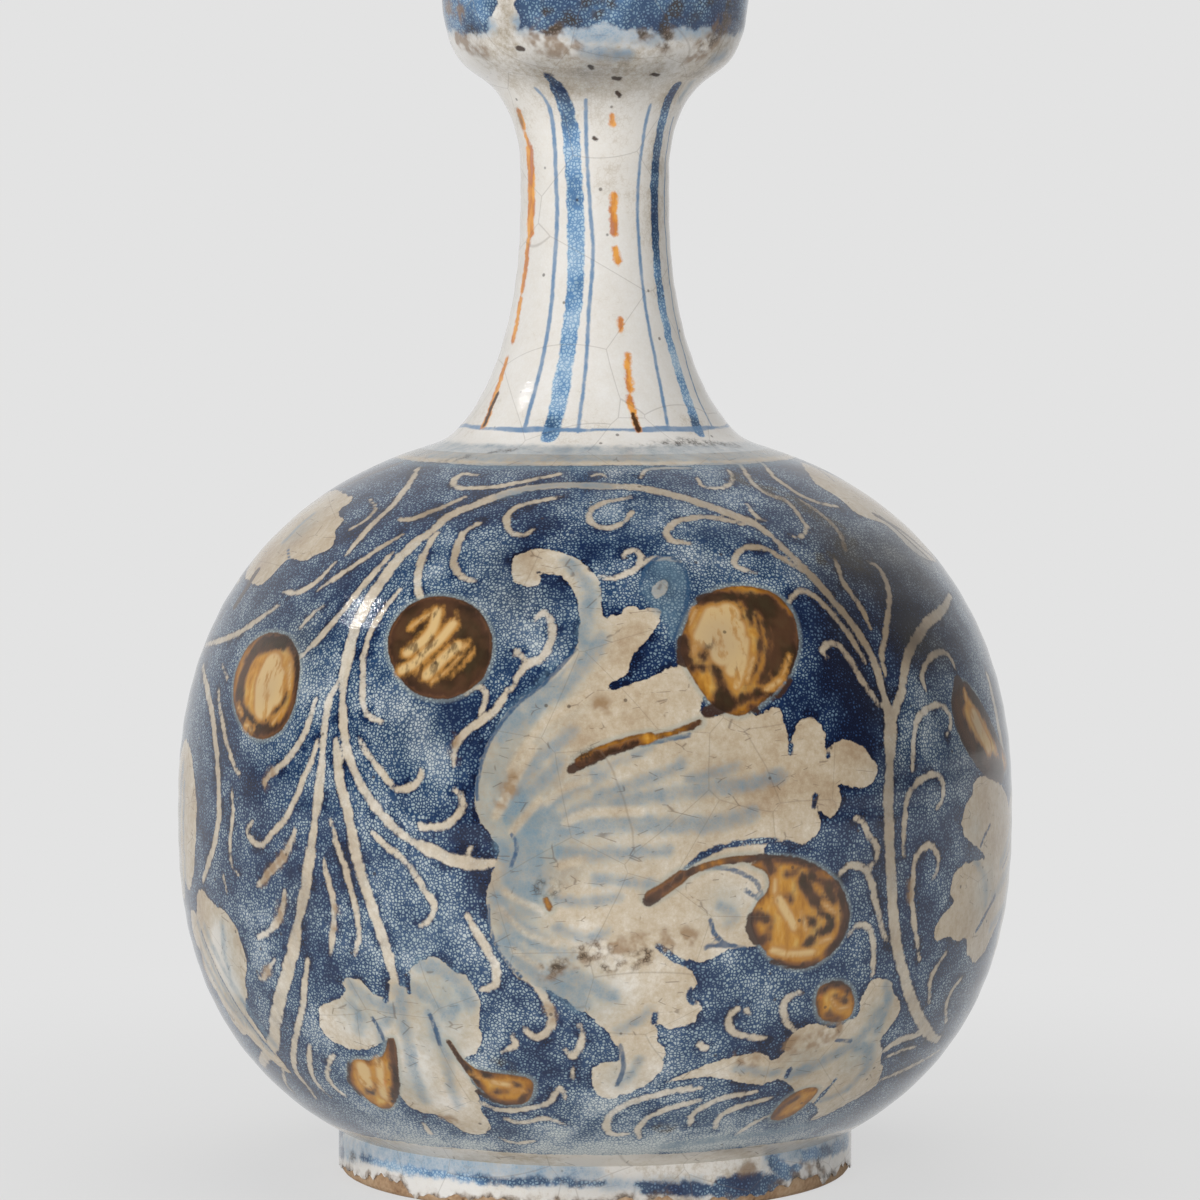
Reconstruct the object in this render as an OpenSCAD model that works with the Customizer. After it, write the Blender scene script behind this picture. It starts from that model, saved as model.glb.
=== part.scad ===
// Tin-glazed earthenware bottle: a wide round body, a narrow waisted neck and a cup-shaped mouth.
// Each thrown section is its own solid. Rings of slip join the sections, and every section
// carries its own coat of glaze outside and its own glaze lining inside.

/* [Body] */
// Diameter at the belly, over the glaze
body_d = 236; // [200:1:280]
// Height of the upper body's curve, from the belly to the pole where it would close
dome_h = 108.5; // [95:0.5:125]
// Depth of the lower body's curve, from the belly to the pole where it would close
bowl_h = 103; // [95:0.5:115]
// Fullness of the upper body: 2 is an ellipse, more is squarer
dome_fullness = 2.32; // [2:0.02:2.8]
// Fullness of the lower body: 2 is an ellipse, more is squarer
bowl_fullness = 2.46; // [2.2:0.02:2.8]

/* [Neck] */
// Diameter of the seam where the neck stands on the shoulder
shoulder_d = 98; // [90:1:108]
// Diameter of the neck just above the hollow at its foot
neck_foot_d = 73.4; // [62:0.2:82]
// Height of that place above the shoulder seam
neck_foot_rise = 7.6; // [5:0.2:12]
// Slope of the neck there, up from the level
neck_foot_slope = 51; // [42:1:64]
// Diameter of the neck at its waist
waist_d = 42; // [36:0.5:52]
// Height of the waist's lower end above the shoulder seam
waist_rise = 68; // [56:1:86]
// Length of the straight throat at the waist
throat_h = 10; // [4:1:20]
// Height from the throat to the seam under the mouth
neck_top_h = 25.2; // [18:0.2:34]

/* [Mouth] */
// Diameter of the seam where the mouth cup sits on the neck
mouth_seam_d = 63; // [56:1:72]
// Slope of the wall at that seam, up from the level
mouth_seam_slope = 35; // [26:1:46]
// Largest diameter of the mouth cup
mouth_d = 87; // [78:1:98]
// Height from the mouth seam to the largest diameter
cup_h = 31; // [24:1:40]
// Outside diameter just under the lip
rim_d = 80; // [72:1:86]
// Height from the largest diameter to the foot of the lip
rim_h = 9.5; // [6:0.5:14]

/* [Foot] */
// Outside diameter of the foot ring, over the glaze
foot_d = 146; // [126:1:164]
// Height of the foot ring at its outside, up to the body
foot_h = 13; // [10:0.5:18]
// Width of the foot ring
foot_w = 12; // [8:0.5:16]
// Radius of the worn lower edge of the foot ring
foot_edge = 2; // [0.5:0.5:3]
// Height of the edge of the foot that stays bare of glaze
foot_bare = 3; // [3:0.5:5]
// Height of the sunk base inside the foot ring
base_rise = 6; // [4:0.5:8]

/* [Wall] */
// Thickness of the thrown clay
wall = 5.5; // [4:0.5:6.5]
// Thickness of the glaze, outside and inside
coat = 0.5; // [0.3:0.1:0.8]
// Thickness of the slip in the seams
slip = 1; // [0.6:0.1:1.6]

/* [Hidden] */

CLAY = "#c9a47c";
SLIP = "#b98d63";
WHITE_GLAZE = "#e6ddcc";
BLUE_GLAZE = "#3f5d9c";
LINING_GLAZE = "#ded3bf";

$fn = 96;

// Points along each body curve, along each neck or mouth curve, and along a quarter of the lip
BODY_STEPS = 24;
NECK_STEPS = 14;
ROUND_STEPS = 6;

// How far a curve's handles reach, as a share of the distance or the height that it spans
HOLLOW_PULL = 0.45;
FLARE_FOOT_PULL = 0.24;
FLARE_WAIST_PULL = 0.46;
TOP_WAIST_PULL = 0.42;
TOP_SEAM_PULL = 0.32;
CUP_SEAM_PULL = 0.2;
CUP_BELLY_PULL = 0.8;
RIM_PULL = 0.45;
// Lean of the wall under the lip, in from the upright
RIM_LEAN = 28;

body_r = body_d / 2;
foot_r = foot_d / 2;
foot_in_r = foot_r - foot_w;
waist_r = waist_d / 2;
// Depths below the outer surface at which the clay begins, the lining begins and the hollow begins
clay_from = coat;
lining_from = coat + wall;
hollow_from = lining_from + coat;

// Height at which the two body halves' curves have their widest circle, below and above the belly seam
bowl_top_z = foot_h + bowl_h * pow(1 - pow(foot_r / body_r, bowl_fullness), 1 / bowl_fullness);
dome_foot_z = bowl_top_z + slip;
// Height of the foot's blank, which stands well into the body before the body is cut from it
foot_blank_z = bowl_top_z / 2;

// A station is a place on the outer surface: [radius, height, normal's radius part, normal's height part].

function unit(v) = v / norm(v);

// Station on a body half, at an angle from the belly; side is 1 above it and -1 below it
function body_station(height, fullness, from_z, side, angle) =
    let (
        across = pow(cos(angle), 2 / fullness),
        up = pow(sin(angle), 2 / fullness),
        normal = unit([pow(across, fullness - 1) / body_r, side * pow(up, fullness - 1) / height])
    )
    [body_r * across, from_z + side * height * up, normal.x, normal.y];

// Station on a cubic curve through four points
function curve_station(p, t) =
    let (
        u = 1 - t,
        at = u * u * u * p[0] + 3 * u * u * t * p[1] + 3 * u * t * t * p[2] + t * t * t * p[3],
        heading = unit(u * u * (p[1] - p[0]) + 2 * u * t * (p[2] - p[1]) + t * t * (p[3] - p[2]))
    )
    [at.x, at.y, heading.y, -heading.x];

function curve(p) = [for (i = [0:NECK_STEPS]) curve_station(p, i / NECK_STEPS)];

function place(station) = [station[0], station[1]];
function heading(station) = [-station[3], station[2]];
function last(list) = list[len(list) - 1];
function reversed(list) = [for (i = [len(list) - 1:-1:0]) list[i]];

// Station reached by going straight on from another, along the surface
function onward(station, distance) =
    [each place(station) + distance * heading(station), station[2], station[3]];

// Points at a depth below the outer surface
function skin(stations, depth) =
    [for (s = stations) [s[0] - depth * s[2], s[1] - depth * s[3]]];

// Lower body, from the edge of the sunk base up to the belly seam
base_angle = asin(pow((bowl_top_z - base_rise) / bowl_h, bowl_fullness / 2));
lower_stations = [
    for (i = [0:BODY_STEPS])
        body_station(bowl_h, bowl_fullness, bowl_top_z, -1, base_angle * (1 - i / BODY_STEPS))
];
belly_seam = [last(lower_stations), onward(last(lower_stations), slip)];

// Upper body, from the belly seam up to the shoulder seam
shoulder_angle = acos(pow(shoulder_d / body_d, dome_fullness / 2));
upper_stations = [
    for (i = [0:BODY_STEPS])
        body_station(dome_h, dome_fullness, dome_foot_z, 1, shoulder_angle * i / BODY_STEPS)
];
shoulder_seam = [last(upper_stations), onward(last(upper_stations), slip)];
shoulder_z = shoulder_seam[1][1];

// Neck: the hollow at its foot, the long flare up to the waist, the throat and the flare to the mouth
neck_start = place(shoulder_seam[1]);
neck_foot = [neck_foot_d / 2, shoulder_z + neck_foot_rise];
neck_foot_heading = [-cos(neck_foot_slope), sin(neck_foot_slope)];
waist_low = [waist_r, shoulder_z + waist_rise];
waist_high = waist_low + [0, throat_h];
neck_end = [mouth_seam_d / 2, waist_high.y + neck_top_h];
mouth_seam_heading = [cos(mouth_seam_slope), sin(mouth_seam_slope)];
hollow_pull = HOLLOW_PULL * norm(neck_foot - neck_start);
flare_h = waist_low.y - neck_foot.y;
hollow = curve([
    neck_start,
    neck_start + hollow_pull * heading(shoulder_seam[1]),
    neck_foot - hollow_pull * neck_foot_heading,
    neck_foot,
]);
flare = curve([
    neck_foot,
    neck_foot + FLARE_FOOT_PULL * flare_h * neck_foot_heading,
    waist_low - [0, FLARE_WAIST_PULL * flare_h],
    waist_low,
]);
neck_top = curve([
    waist_high,
    waist_high + [0, TOP_WAIST_PULL * neck_top_h],
    neck_end - TOP_SEAM_PULL * neck_top_h * mouth_seam_heading,
    neck_end,
]);
neck_stations = concat([for (i = [0:NECK_STEPS - 1]) hollow[i]], flare, neck_top);
mouth_seam = [last(neck_stations), onward(last(neck_stations), slip)];

// Mouth: the cup up to its widest circle, then the wall that leans in under the lip
cup_start = place(mouth_seam[1]);
cup_belly = [mouth_d / 2, cup_start.y + cup_h];
lip_foot = [rim_d / 2, cup_belly.y + rim_h];
cup = curve([
    cup_start,
    cup_start + CUP_SEAM_PULL * cup_h * mouth_seam_heading,
    cup_belly - [0, CUP_BELLY_PULL * cup_h],
    cup_belly,
]);
rim = curve([
    cup_belly,
    cup_belly + [0, RIM_PULL * rim_h],
    lip_foot - RIM_PULL * rim_h * [-sin(RIM_LEAN), cos(RIM_LEAN)],
    lip_foot,
]);
mouth_stations = concat([for (i = [0:NECK_STEPS - 1]) cup[i]], rim);

// Round lip about the middle of the clay; 0 degrees faces out, 90 is the crest and 180 faces in
lip_station = last(mouth_stations);
lip_out = [lip_station[2], lip_station[3]];
lip_centre = place(lip_station) - (coat + wall / 2) * lip_out;
function lip(radius, from, to) = [
    for (i = [0:ROUND_STEPS])
        let (angle = from + (to - from) * i / ROUND_STEPS)
        lip_centre + radius * (cos(angle) * lip_out + sin(angle) * heading(lip_station))
];

// Band of one section between two depths, turned about the axis
module turned_band(stations, from, to) {
    rotate_extrude()
        polygon(concat(skin(stations, from), reversed(skin(stations, to))));
}

// Profile of the lower body at a depth, filled to the axis
module lower_profile(depth) {
    edge = skin(lower_stations, depth);
    polygon(concat([[0, edge[0].y]], edge, [[0, last(edge).y]]));
}

// Lower body's band between two depths, with its floor
module turned_bowl(from, to) {
    rotate_extrude()
        difference() {
            lower_profile(from);
            lower_profile(to);
        }
}

// Blank of the foot ring, before the body is cut from its top
module foot_profile() {
    outer = foot_r - coat;
    worn_edge = [
        for (i = [0:ROUND_STEPS])
            let (angle = -90 + 90 * i / ROUND_STEPS)
            [outer - foot_edge + foot_edge * cos(angle), foot_edge + foot_edge * sin(angle)]
    ];
    polygon(concat([[foot_in_r, 0]], worn_edge, [[outer, foot_blank_z], [foot_in_r, foot_blank_z]]));
}

module foot_ring() {
    color(CLAY)
        rotate_extrude()
            difference() {
                foot_profile();
                lower_profile(coat - slip);
            }
}

module foot_lute() {
    color(SLIP)
        rotate_extrude()
            difference() {
                intersection() {
                    foot_profile();
                    lower_profile(coat - slip);
                }
                lower_profile(coat);
            }
}

module foot_glaze() {
    color(BLUE_GLAZE)
        rotate_extrude()
            difference() {
                translate([foot_r - coat, foot_bare]) square([coat, foot_blank_z - foot_bare]);
                lower_profile(0);
            }
}

module lower_body() {
    color(CLAY) turned_bowl(clay_from, lining_from);
}

module lower_body_lining() {
    color(LINING_GLAZE) turned_bowl(lining_from, hollow_from);
}

// The coat stops where the foot ring begins, so the sunk base stays bare
module lower_body_glaze() {
    color(BLUE_GLAZE)
        rotate_extrude()
            intersection() {
                difference() {
                    lower_profile(0);
                    lower_profile(coat);
                }
                translate([foot_r - coat, 0]) square([body_r, bowl_top_z]);
            }
}

module belly_lute() {
    color(SLIP) turned_band(belly_seam, clay_from, lining_from);
}

module upper_body() {
    color(CLAY) turned_band(upper_stations, clay_from, lining_from);
}

// From here up, each coat and each lining begins below its section, so that it covers the seam there
module upper_body_glaze() {
    color(BLUE_GLAZE) turned_band(concat([belly_seam[0]], upper_stations), 0, clay_from);
}

module upper_body_lining() {
    color(LINING_GLAZE)
        turned_band(concat([belly_seam[0]], upper_stations), lining_from, hollow_from);
}

module shoulder_lute() {
    color(SLIP) turned_band(shoulder_seam, clay_from, lining_from);
}

module neck() {
    color(CLAY) turned_band(neck_stations, clay_from, lining_from);
}

module neck_glaze() {
    color(WHITE_GLAZE) turned_band(concat([shoulder_seam[0]], neck_stations), 0, clay_from);
}

module neck_lining() {
    color(LINING_GLAZE)
        turned_band(concat([shoulder_seam[0]], neck_stations), lining_from, hollow_from);
}

module mouth_lute() {
    color(SLIP) turned_band(mouth_seam, clay_from, lining_from);
}

module mouth_cup() {
    color(CLAY)
        rotate_extrude()
            polygon(concat(
                skin(mouth_stations, clay_from),
                lip(wall / 2, 0, 180),
                reversed(skin(mouth_stations, lining_from))
            ));
}

module mouth_glaze() {
    stations = concat([mouth_seam[0]], mouth_stations);
    color(BLUE_GLAZE)
        rotate_extrude()
            polygon(concat(
                skin(stations, 0),
                lip(wall / 2 + coat, 0, 90),
                lip(wall / 2, 90, 0),
                reversed(skin(stations, clay_from))
            ));
}

module mouth_lining() {
    stations = concat([mouth_seam[0]], mouth_stations);
    color(LINING_GLAZE)
        rotate_extrude()
            polygon(concat(
                skin(stations, lining_from),
                lip(wall / 2, 180, 90),
                lip(wall / 2 + coat, 90, 180),
                reversed(skin(stations, hollow_from))
            ));
}

foot_ring();
lower_body();
upper_body();
neck();
mouth_cup();
foot_lute();
belly_lute();
shoulder_lute();
mouth_lute();
foot_glaze();
lower_body_glaze();
upper_body_glaze();
neck_glaze();
mouth_glaze();
lower_body_lining();
upper_body_lining();
neck_lining();
mouth_lining();
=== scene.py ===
"""Looks of a tin-glazed earthenware bottle, painted with scrolling leaves and fruit on a blue ground.

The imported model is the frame. Each coat of glaze is turned again here as a fine shell on the coat's own
outline. The shell carries its painting as distances to brush strokes, and the finish turns them into colour.
"""
from __future__ import annotations

import logging
import math
from dataclasses import dataclass
from enum import Enum
from typing import Any, Iterable, Iterator

import bpy
import numpy as np
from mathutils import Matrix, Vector, noise
from mathutils.bvhtree import BVHTree


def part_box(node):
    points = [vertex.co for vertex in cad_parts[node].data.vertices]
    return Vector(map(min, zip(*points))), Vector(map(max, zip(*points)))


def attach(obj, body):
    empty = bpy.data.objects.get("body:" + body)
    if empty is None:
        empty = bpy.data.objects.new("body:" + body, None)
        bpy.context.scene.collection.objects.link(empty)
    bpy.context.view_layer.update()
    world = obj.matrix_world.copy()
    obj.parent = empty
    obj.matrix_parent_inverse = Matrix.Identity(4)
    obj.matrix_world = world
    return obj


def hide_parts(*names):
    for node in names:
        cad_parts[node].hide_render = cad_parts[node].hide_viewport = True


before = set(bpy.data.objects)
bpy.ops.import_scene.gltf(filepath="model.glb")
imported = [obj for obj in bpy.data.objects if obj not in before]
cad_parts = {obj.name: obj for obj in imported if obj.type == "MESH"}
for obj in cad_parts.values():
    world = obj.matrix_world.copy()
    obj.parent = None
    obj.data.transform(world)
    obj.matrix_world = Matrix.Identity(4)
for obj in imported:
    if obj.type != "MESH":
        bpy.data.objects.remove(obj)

MM = 0.001
HAIR = 1e-6
HAIR_DIGITS = 6
FULL_TURN = 2 * math.pi
FLAT_LAYOUT = "OFBake"
log = logging.getLogger("bottle")


class Layer(Enum):
    """Layers of the painting, each one a distance in millimetres that is above zero inside its marks."""

    LEAF = "leaf"
    STEM = "stem"
    SLIT = "slit"
    WASH = "wash"
    LINE = "line"
    OCHRE = "ochre"
    UMBER = "umber"
    GLEAM = "gleam"
    RUST = "rust"
    STAIN = "stain"
    SMOKE = "smoke"
    BARE = "bare"
    WISP = "wisp"


class Shade(Enum):
    """Soft patches of the painting: how pale, with painted light and shade; how blue a leaf; how filmed over,
    with painted shade; how brown a stem.
    """

    TONE = "tone"
    HAZE = "haze"
    FILM = "film"
    AGED = "aged"


class Slot(Enum):
    """Material slots of the record, given to the scene's pieces but not read."""

    CLAY = "earthenware"
    BLUE = "blue_glaze"
    WHITE = "white_glaze"


Path = tuple[float, ...]
Drawn = dict[Layer, tuple[Path, ...]]
Softened = dict[Shade, tuple[Path, ...]]

# Brush strokes: width, then the pairs of the path, all in pixels of the photograph's 1200 by 1200 frame.
BODY_STROKES: Drawn = {Layer.STEM: (
    # Arch over the middle leaf
    (12, 343,694, 344,675, 349,652, 356,627, 364,609, 373,594, 385,577, 397,561, 415,543, 432,530),
    (10, 425,538, 450,516, 480,503, 510,492, 540,487, 570,485, 600,486, 640,488, 670,494, 690,500, 720,510,
     750,522, 770,535),
    (8, 770,535, 785,550, 800,565, 815,580, 830,597, 845,615, 858,633, 868,650, 877,670, 882,690, 886,705),
    # Curls above and under the arch
    (5, 478,475, 462,474, 453,482, 462,488, 500,486, 530,480, 560,474),
    (5, 560,497, 535,502, 515,508, 507,518, 508,528, 515,534, 525,535, 533,529),
    (5, 630,497, 605,502, 592,510, 589,518, 595,525, 607,528, 622,523, 632,512),
    (5, 745,525, 710,517, 680,520, 667,530, 670,540, 690,543),
    (6, 480,523, 466,531, 457,546, 454,562, 460,575, 473,581),
    (5, 600,577, 612,578, 628,573, 638,566, 640,556, 635,550, 627,552, 623,558),
    (4, 640,565, 650,560, 665,558, 680,562),
    (6, 535,620, 545,613, 552,625, 551,640, 543,657, 530,663, 520,672, 512,690),
    (5, 514,655, 518,650, 525,662),
    (5, 803,572, 780,557, 765,549, 748,547, 737,554, 735,565, 745,570, 757,573),
    (4, 697,478, 702,486, 715,488, 727,486, 732,478, 728,470),
    (5, 740,465, 748,478, 758,488, 770,495, 785,500, 795,510, 803,522),
    (4, 790,535, 797,538, 805,533, 806,525), (5, 762,463, 772,475, 785,485, 800,495, 820,503, 838,507),
    (5, 800,500, 815,510, 830,522, 840,535, 845,550), (5, 747,505, 752,512, 758,518, 765,520),
    (4, 640,478, 645,470, 660,468, 690,468), (4, 592,476, 600,474, 606,477),
    # Right-hand stem with its branches and curls
    (5, 788,602, 800,590, 815,597, 830,612, 845,630, 855,645, 865,662),
    (5, 835,560, 842,580, 852,595, 862,610, 870,628),
    (5, 868,562, 875,565, 883,575, 889,595, 887,620, 884,640, 881,655, 885,675),
    (5, 828,660, 822,648, 833,643, 845,653, 857,673, 868,690, 878,705),
    (9, 950,595, 940,612, 925,625, 912,645, 905,665, 902,685, 897,705, 892,722),
    (5, 925,690, 922,675, 928,660, 938,652, 948,655, 955,668),
    (5, 912,770, 913,745, 916,722, 925,710, 938,705, 948,712, 950,725, 946,735),
    (16, 885,703, 890,720, 889,760),
    (12, 889,760, 888,800, 889,840, 891,880, 893,920, 897,950, 905,980, 911,1000, 920,1020, 930,1035,
     938,1040),
    (5, 855,818, 862,822, 868,835, 876,845, 876,858, 868,868),
    (6, 838,875, 850,865, 862,868, 870,880, 875,900, 880,925, 885,940),
    (5, 848,935, 857,925, 868,928, 873,945, 872,975),
    (5, 903,855, 904,820, 908,795, 920,780, 934,774, 942,782, 942,800, 936,808),
    (5, 932,878, 937,870, 937,855, 930,845, 920,850, 914,862, 912,885, 912,905, 914,925, 917,945, 919,960),
    (5, 946,953, 937,965, 930,980, 929,1002), (8, 884,1050, 898,1041, 920,1034),
    (3, 884,1058, 902,1050, 916,1046), (5, 962,978, 952,990, 946,1006, 946,1022),
    (4, 880,1080, 912,1066, 940,1050), (11, 987,675, 993,700, 999,730, 1004,765),
    # Left-hand fan of stems
    (7, 418,468, 411,481, 397,500, 380,517, 362,535, 347,554), (4, 370,499, 375,508, 366,520, 350,529),
    (6, 465,497, 450,504, 430,512, 412,519, 400,519), (5, 402,535, 380,548, 355,565, 335,578, 318,590),
    (5, 400,590, 385,608, 372,630, 365,650, 363,680, 364,705, 370,717, 382,722),
    (7, 437,533, 430,543, 423,557, 418,577, 420,595, 426,606), (5, 283,592, 300,592, 318,580, 335,563),
    (6, 278,606, 265,615, 250,625, 235,635, 215,642, 205,645), (4, 300,628, 315,612, 322,607),
    (6, 300,658, 322,635, 344,610, 362,587, 377,570, 392,553), (4, 222,665, 228,678),
    (8, 203,665, 207,690, 213,720, 217,760, 219,800, 218,825, 213,850, 206,870, 203,880),
    (5, 218,690, 222,720, 229,750, 234,765, 240,775),
    (4, 232,790, 233,810, 231,830, 230,850, 232,865, 238,875), (4, 223,875, 227,892),
    (6, 316,700, 308,725, 298,745, 285,762, 270,775, 264,785), (7, 340,680, 330,699, 325,725, 323,755),
    (10, 323,755, 319,792, 314,830), (12, 314,830, 309,862, 304,895, 298,920),
    (15, 298,920, 292,955, 282,990, 275,1020, 272,1045, 262,1065),
    (10, 336,740, 340,780, 347,810, 355,850, 365,885, 375,915, 385,945, 392,970, 397,985),
    (8, 343,690, 343,717, 345,740, 351,762, 360,782, 371,801, 384,817, 400,832, 417,844),
    (11, 410,840, 435,852, 455,860, 475,864, 497,863), (5, 466,860, 470,849),
    (5, 331,820, 337,845, 344,865, 350,885, 357,915, 359,935, 355,955),
    (5, 370,830, 385,845, 400,857, 412,870, 425,890, 434,905, 430,920, 420,926),
    (5, 360,738, 368,755, 380,770, 392,785, 405,790, 418,783, 422,770),
    (5, 324,860, 328,880, 333,900, 334,920, 332,940, 330,955),
    (5, 318,740, 312,760, 305,775, 297,795, 288,815, 275,830, 262,845, 252,840, 247,830, 252,822),
    (7, 295,830, 292,840, 285,855, 272,870, 258,885), (6, 284,890, 283,905, 278,920, 270,930, 258,938),
    (4, 418,823, 430,826), (5, 275,960, 268,970, 262,980, 258,975),
    (6, 308,960, 305,980, 302,1010, 295,1040, 293,1060, 298,1075, 308,1088, 315,1098),
    (5, 310,1045, 309,1060, 312,1075, 320,1088, 330,1097),
    (5, 333,1055, 328,1065, 328,1078, 335,1088, 345,1096), (4, 283,1070, 286,1085, 293,1092),
    # Curls between the fruit, the middle leaf and the foot
    (5, 465,693, 478,687, 486,695, 482,712), (6, 508,690, 497,708, 480,722, 465,733, 456,747, 453,765),
    (6, 420,828, 447,825, 461,810, 462,796, 455,790),
    (7, 467,915, 475,930, 485,945, 490,955, 496,970, 495,985, 482,990),
    (6, 520,977, 535,985, 545,998, 551,1015, 550,1028, 540,1037, 530,1035, 525,1028),
    (5, 580,1025, 583,1038, 578,1050, 572,1057, 565,1050), (5, 503,1052, 515,1045, 513,1035),
    (4, 573,1068, 572,1078), (5, 505,1118, 515,1122, 530,1122, 540,1118, 552,1120, 565,1125),
    (4, 500,1138, 515,1143, 535,1141), (5, 480,1102, 500,1110, 530,1108, 550,1102, 560,1088, 566,1098),
    (6, 628,1134, 612,1134, 606,1125, 612,1113, 630,1103, 655,1095, 690,1087),
    (6, 640,1138, 638,1130, 645,1120, 660,1112, 680,1105, 700,1100),
    (6, 690,1125, 692,1115, 705,1105, 725,1097, 755,1092),
    (6, 715,1128, 718,1118, 730,1110, 750,1103, 770,1098), (5, 735,1135, 755,1122, 770,1115),
    (4, 680,1092, 700,1088), (7, 800,992, 790,996, 783,1005, 785,1020, 795,1030),
    (6, 738,1008, 730,1015, 728,1025, 735,1033, 750,1037, 765,1038), (10, 746,1011, 748,1013),
    (11, 699,1044, 704,1048), (8, 424,1124, 430,1133),
), Layer.SLIT: (
    # Cuts of the ground into the middle leaf
    (5, 790,752, 790,740), (4, 828,756, 827,746), (5, 815,796, 814,806), (7, 658,946, 673,958, 692,966),
    (5, 668,886, 690,864, 712,851, 740,843, 772,841, 800,847), (5, 690,990, 689,998, 694,1003),
    (5, 655,1012, 653,1022),
    # Cuts into the lower leaves
    (5, 386,1000, 387,985), (4, 409,992, 408,975), (4, 785,1078, 790,1068),
    (4, 812,1106, 822,1094, 835,1080), (4, 976,930, 986,913, 995,895), (3, 980,846, 984,836, 990,825),
), Layer.LINE: (
    # Veins of the leaves
    (4, 620,1045, 623,1060, 623,1070, 617,1085), (4, 700,868, 725,868, 745,875, 758,885, 765,910),
    (4, 745,890, 760,900), (4, 710,920, 715,935, 728,945, 745,948), (4, 640,745, 660,741, 690,735),
    (4, 705,948, 712,945, 735,946), (4, 430,1015, 436,1030, 440,1045), (4, 372,1018, 380,1030, 384,1040),
    (4, 836,1040, 850,1041), (3, 288,548, 289,560),
    # Bud beside the upper fruit
    (3, 640,588, 643,574, 651,562, 664,556, 678,561, 687,576, 687,598, 681,622, 673,639),
    # Joint of stem and leaf
    (3, 512,834, 517,848, 511,866),
    # Outlines of the middle leaf's shaded side
    (3, 478,800, 477,786, 483,758, 493,736, 506,717, 521,701, 541,686, 561,666, 576,649),
    (3, 488,905, 490,928, 498,950, 509,965, 521,977),
), Layer.WASH: (
    # Shading of the middle leaf, fanned from its base
    (14, 500,846, 508,858), (14, 600,638, 590,655, 578,668), (14, 584,668, 562,688, 540,704, 516,728),
    (16, 560,668, 540,690, 518,710, 500,735), (12, 572,732, 548,752, 528,774, 512,800),
    (12, 560,762, 532,790, 508,815), (12, 604,774, 574,789, 548,804, 532,822),
    (5, 650,748, 622,761, 592,770), (11, 682,764, 660,775, 630,786, 598,797),
    (9, 736,767, 716,772, 690,779), (14, 780,775, 742,785, 700,790, 650,797, 600,804, 568,816, 540,834),
    (15, 752,815, 720,822, 680,826, 640,824, 590,826, 556,834), (11, 668,850, 620,853, 592,855, 560,852),
    (10, 652,884, 622,882, 598,880), (9, 618,897, 582,902, 556,899),
    (30, 545,822, 530,842, 528,866, 535,884), (20, 512,872, 520,890, 532,905),
    (12, 498,898, 518,925, 545,941), (11, 508,926, 540,946, 572,956), (9, 558,929, 588,938, 606,932),
    (22, 505,945, 530,966, 556,986, 580,1002), (16, 560,972, 590,984, 610,996),
    (14, 588,598, 586,620, 582,640), (10, 565,560, 582,576, 590,596), (8, 720,905, 735,915, 728,925),
    (8, 618,1030, 640,1020, 650,1010), (7, 640,1060, 630,1075, 620,1085),
    # Shading of the lower leaves
    (14, 420,965, 440,968, 462,985, 470,1005), (12, 412,985, 430,1000, 448,1015, 455,1008),
    (12, 400,990, 402,1015, 408,1045, 415,1075, 425,1100),
    (10, 430,1012, 436,1035, 446,1055, 450,1080, 458,1105), (12, 350,985, 360,995, 380,1005, 392,1010),
    (10, 352,1005, 360,1020, 358,1030), (9, 388,1020, 380,1030, 382,1045),
    (9, 735,1068, 760,1072, 775,1074), (14, 790,1075, 815,1065, 840,1052, 862,1035, 880,1012),
    (14, 850,1045, 868,1050, 866,1070), (10, 885,985, 888,1000, 876,1030),
    (8, 822,1100, 845,1090, 860,1075),
    # Blue over the crown of the arch
    (9, 500,496, 540,487, 570,485, 610,486),
    # Blue haze over the ground between the band and the foot
    (14, 665,1146, 720,1139, 780,1131, 840,1118),
    # Shading of the edge leaves
    (7, 975,860, 985,880, 985,905), (8, 222,925, 225,955, 232,985), (10, 285,540, 300,525, 312,515),
), Layer.WISP: (
    # Cream left between the veins of the middle leaf
    (9, 496,816, 505,800, 518,775, 532,748), (8, 512,832, 520,822, 540,800), (8, 548,718, 528,742, 511,770),
    (10, 588,694, 562,711, 546,722), (8, 546,802, 562,790, 588,780), (9, 640,812, 590,812, 566,822),
    (7, 505,892, 530,906, 560,913), (6, 500,908, 525,932, 556,944), (6, 514,950, 542,968),
    (8, 573,640, 566,660, 550,676), (9, 580,860, 560,866),
), Layer.OCHRE: (
    # Gold along the turned edges of the middle leaf
    (11, 580,762, 605,750, 630,742, 650,738), (5, 650,738, 675,732, 700,722),
    (12, 650,897, 665,888, 682,876), (6, 682,876, 705,866, 730,860, 755,858), (6, 546,900, 550,908),
    # Stalk of the pod at the lower left
    (5, 449,1042, 458,1056, 468,1070, 480,1086),
), Layer.UMBER: (
    # Edge of the upper right leaf, and shade under the gold of the middle leaf
    (3, 793,458, 812,466, 834,481), (3, 880,516, 892,526), (5, 890,524, 908,540, 928,558),
    (9, 571,769, 584,763, 600,756), (6, 600,756, 620,749, 636,743), (4, 690,728, 699,722),
    (11, 648,901, 656,896), (7, 656,895, 668,886, 680,877), (6, 686,874, 695,869), (5, 728,861, 734,861),
    # Tall fruit at the left
    (15, 284,642, 266,641, 251,656, 242,680, 239,702, 246,719, 259,730, 274,727),
    (12, 247,660, 262,648, 280,644), (6, 286,638, 296,655, 297,682, 290,710, 277,730),
    (4, 287,688, 281,704, 270,714), (5, 262,722, 266,732),
    # Upper right fruit
    (11, 700,600, 715,597, 735,597, 748,600), (18, 748,602, 762,606, 775,618),
    (30, 768,607, 780,625, 784,645, 779,664), (10, 790,620, 793,645, 788,662),
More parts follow.
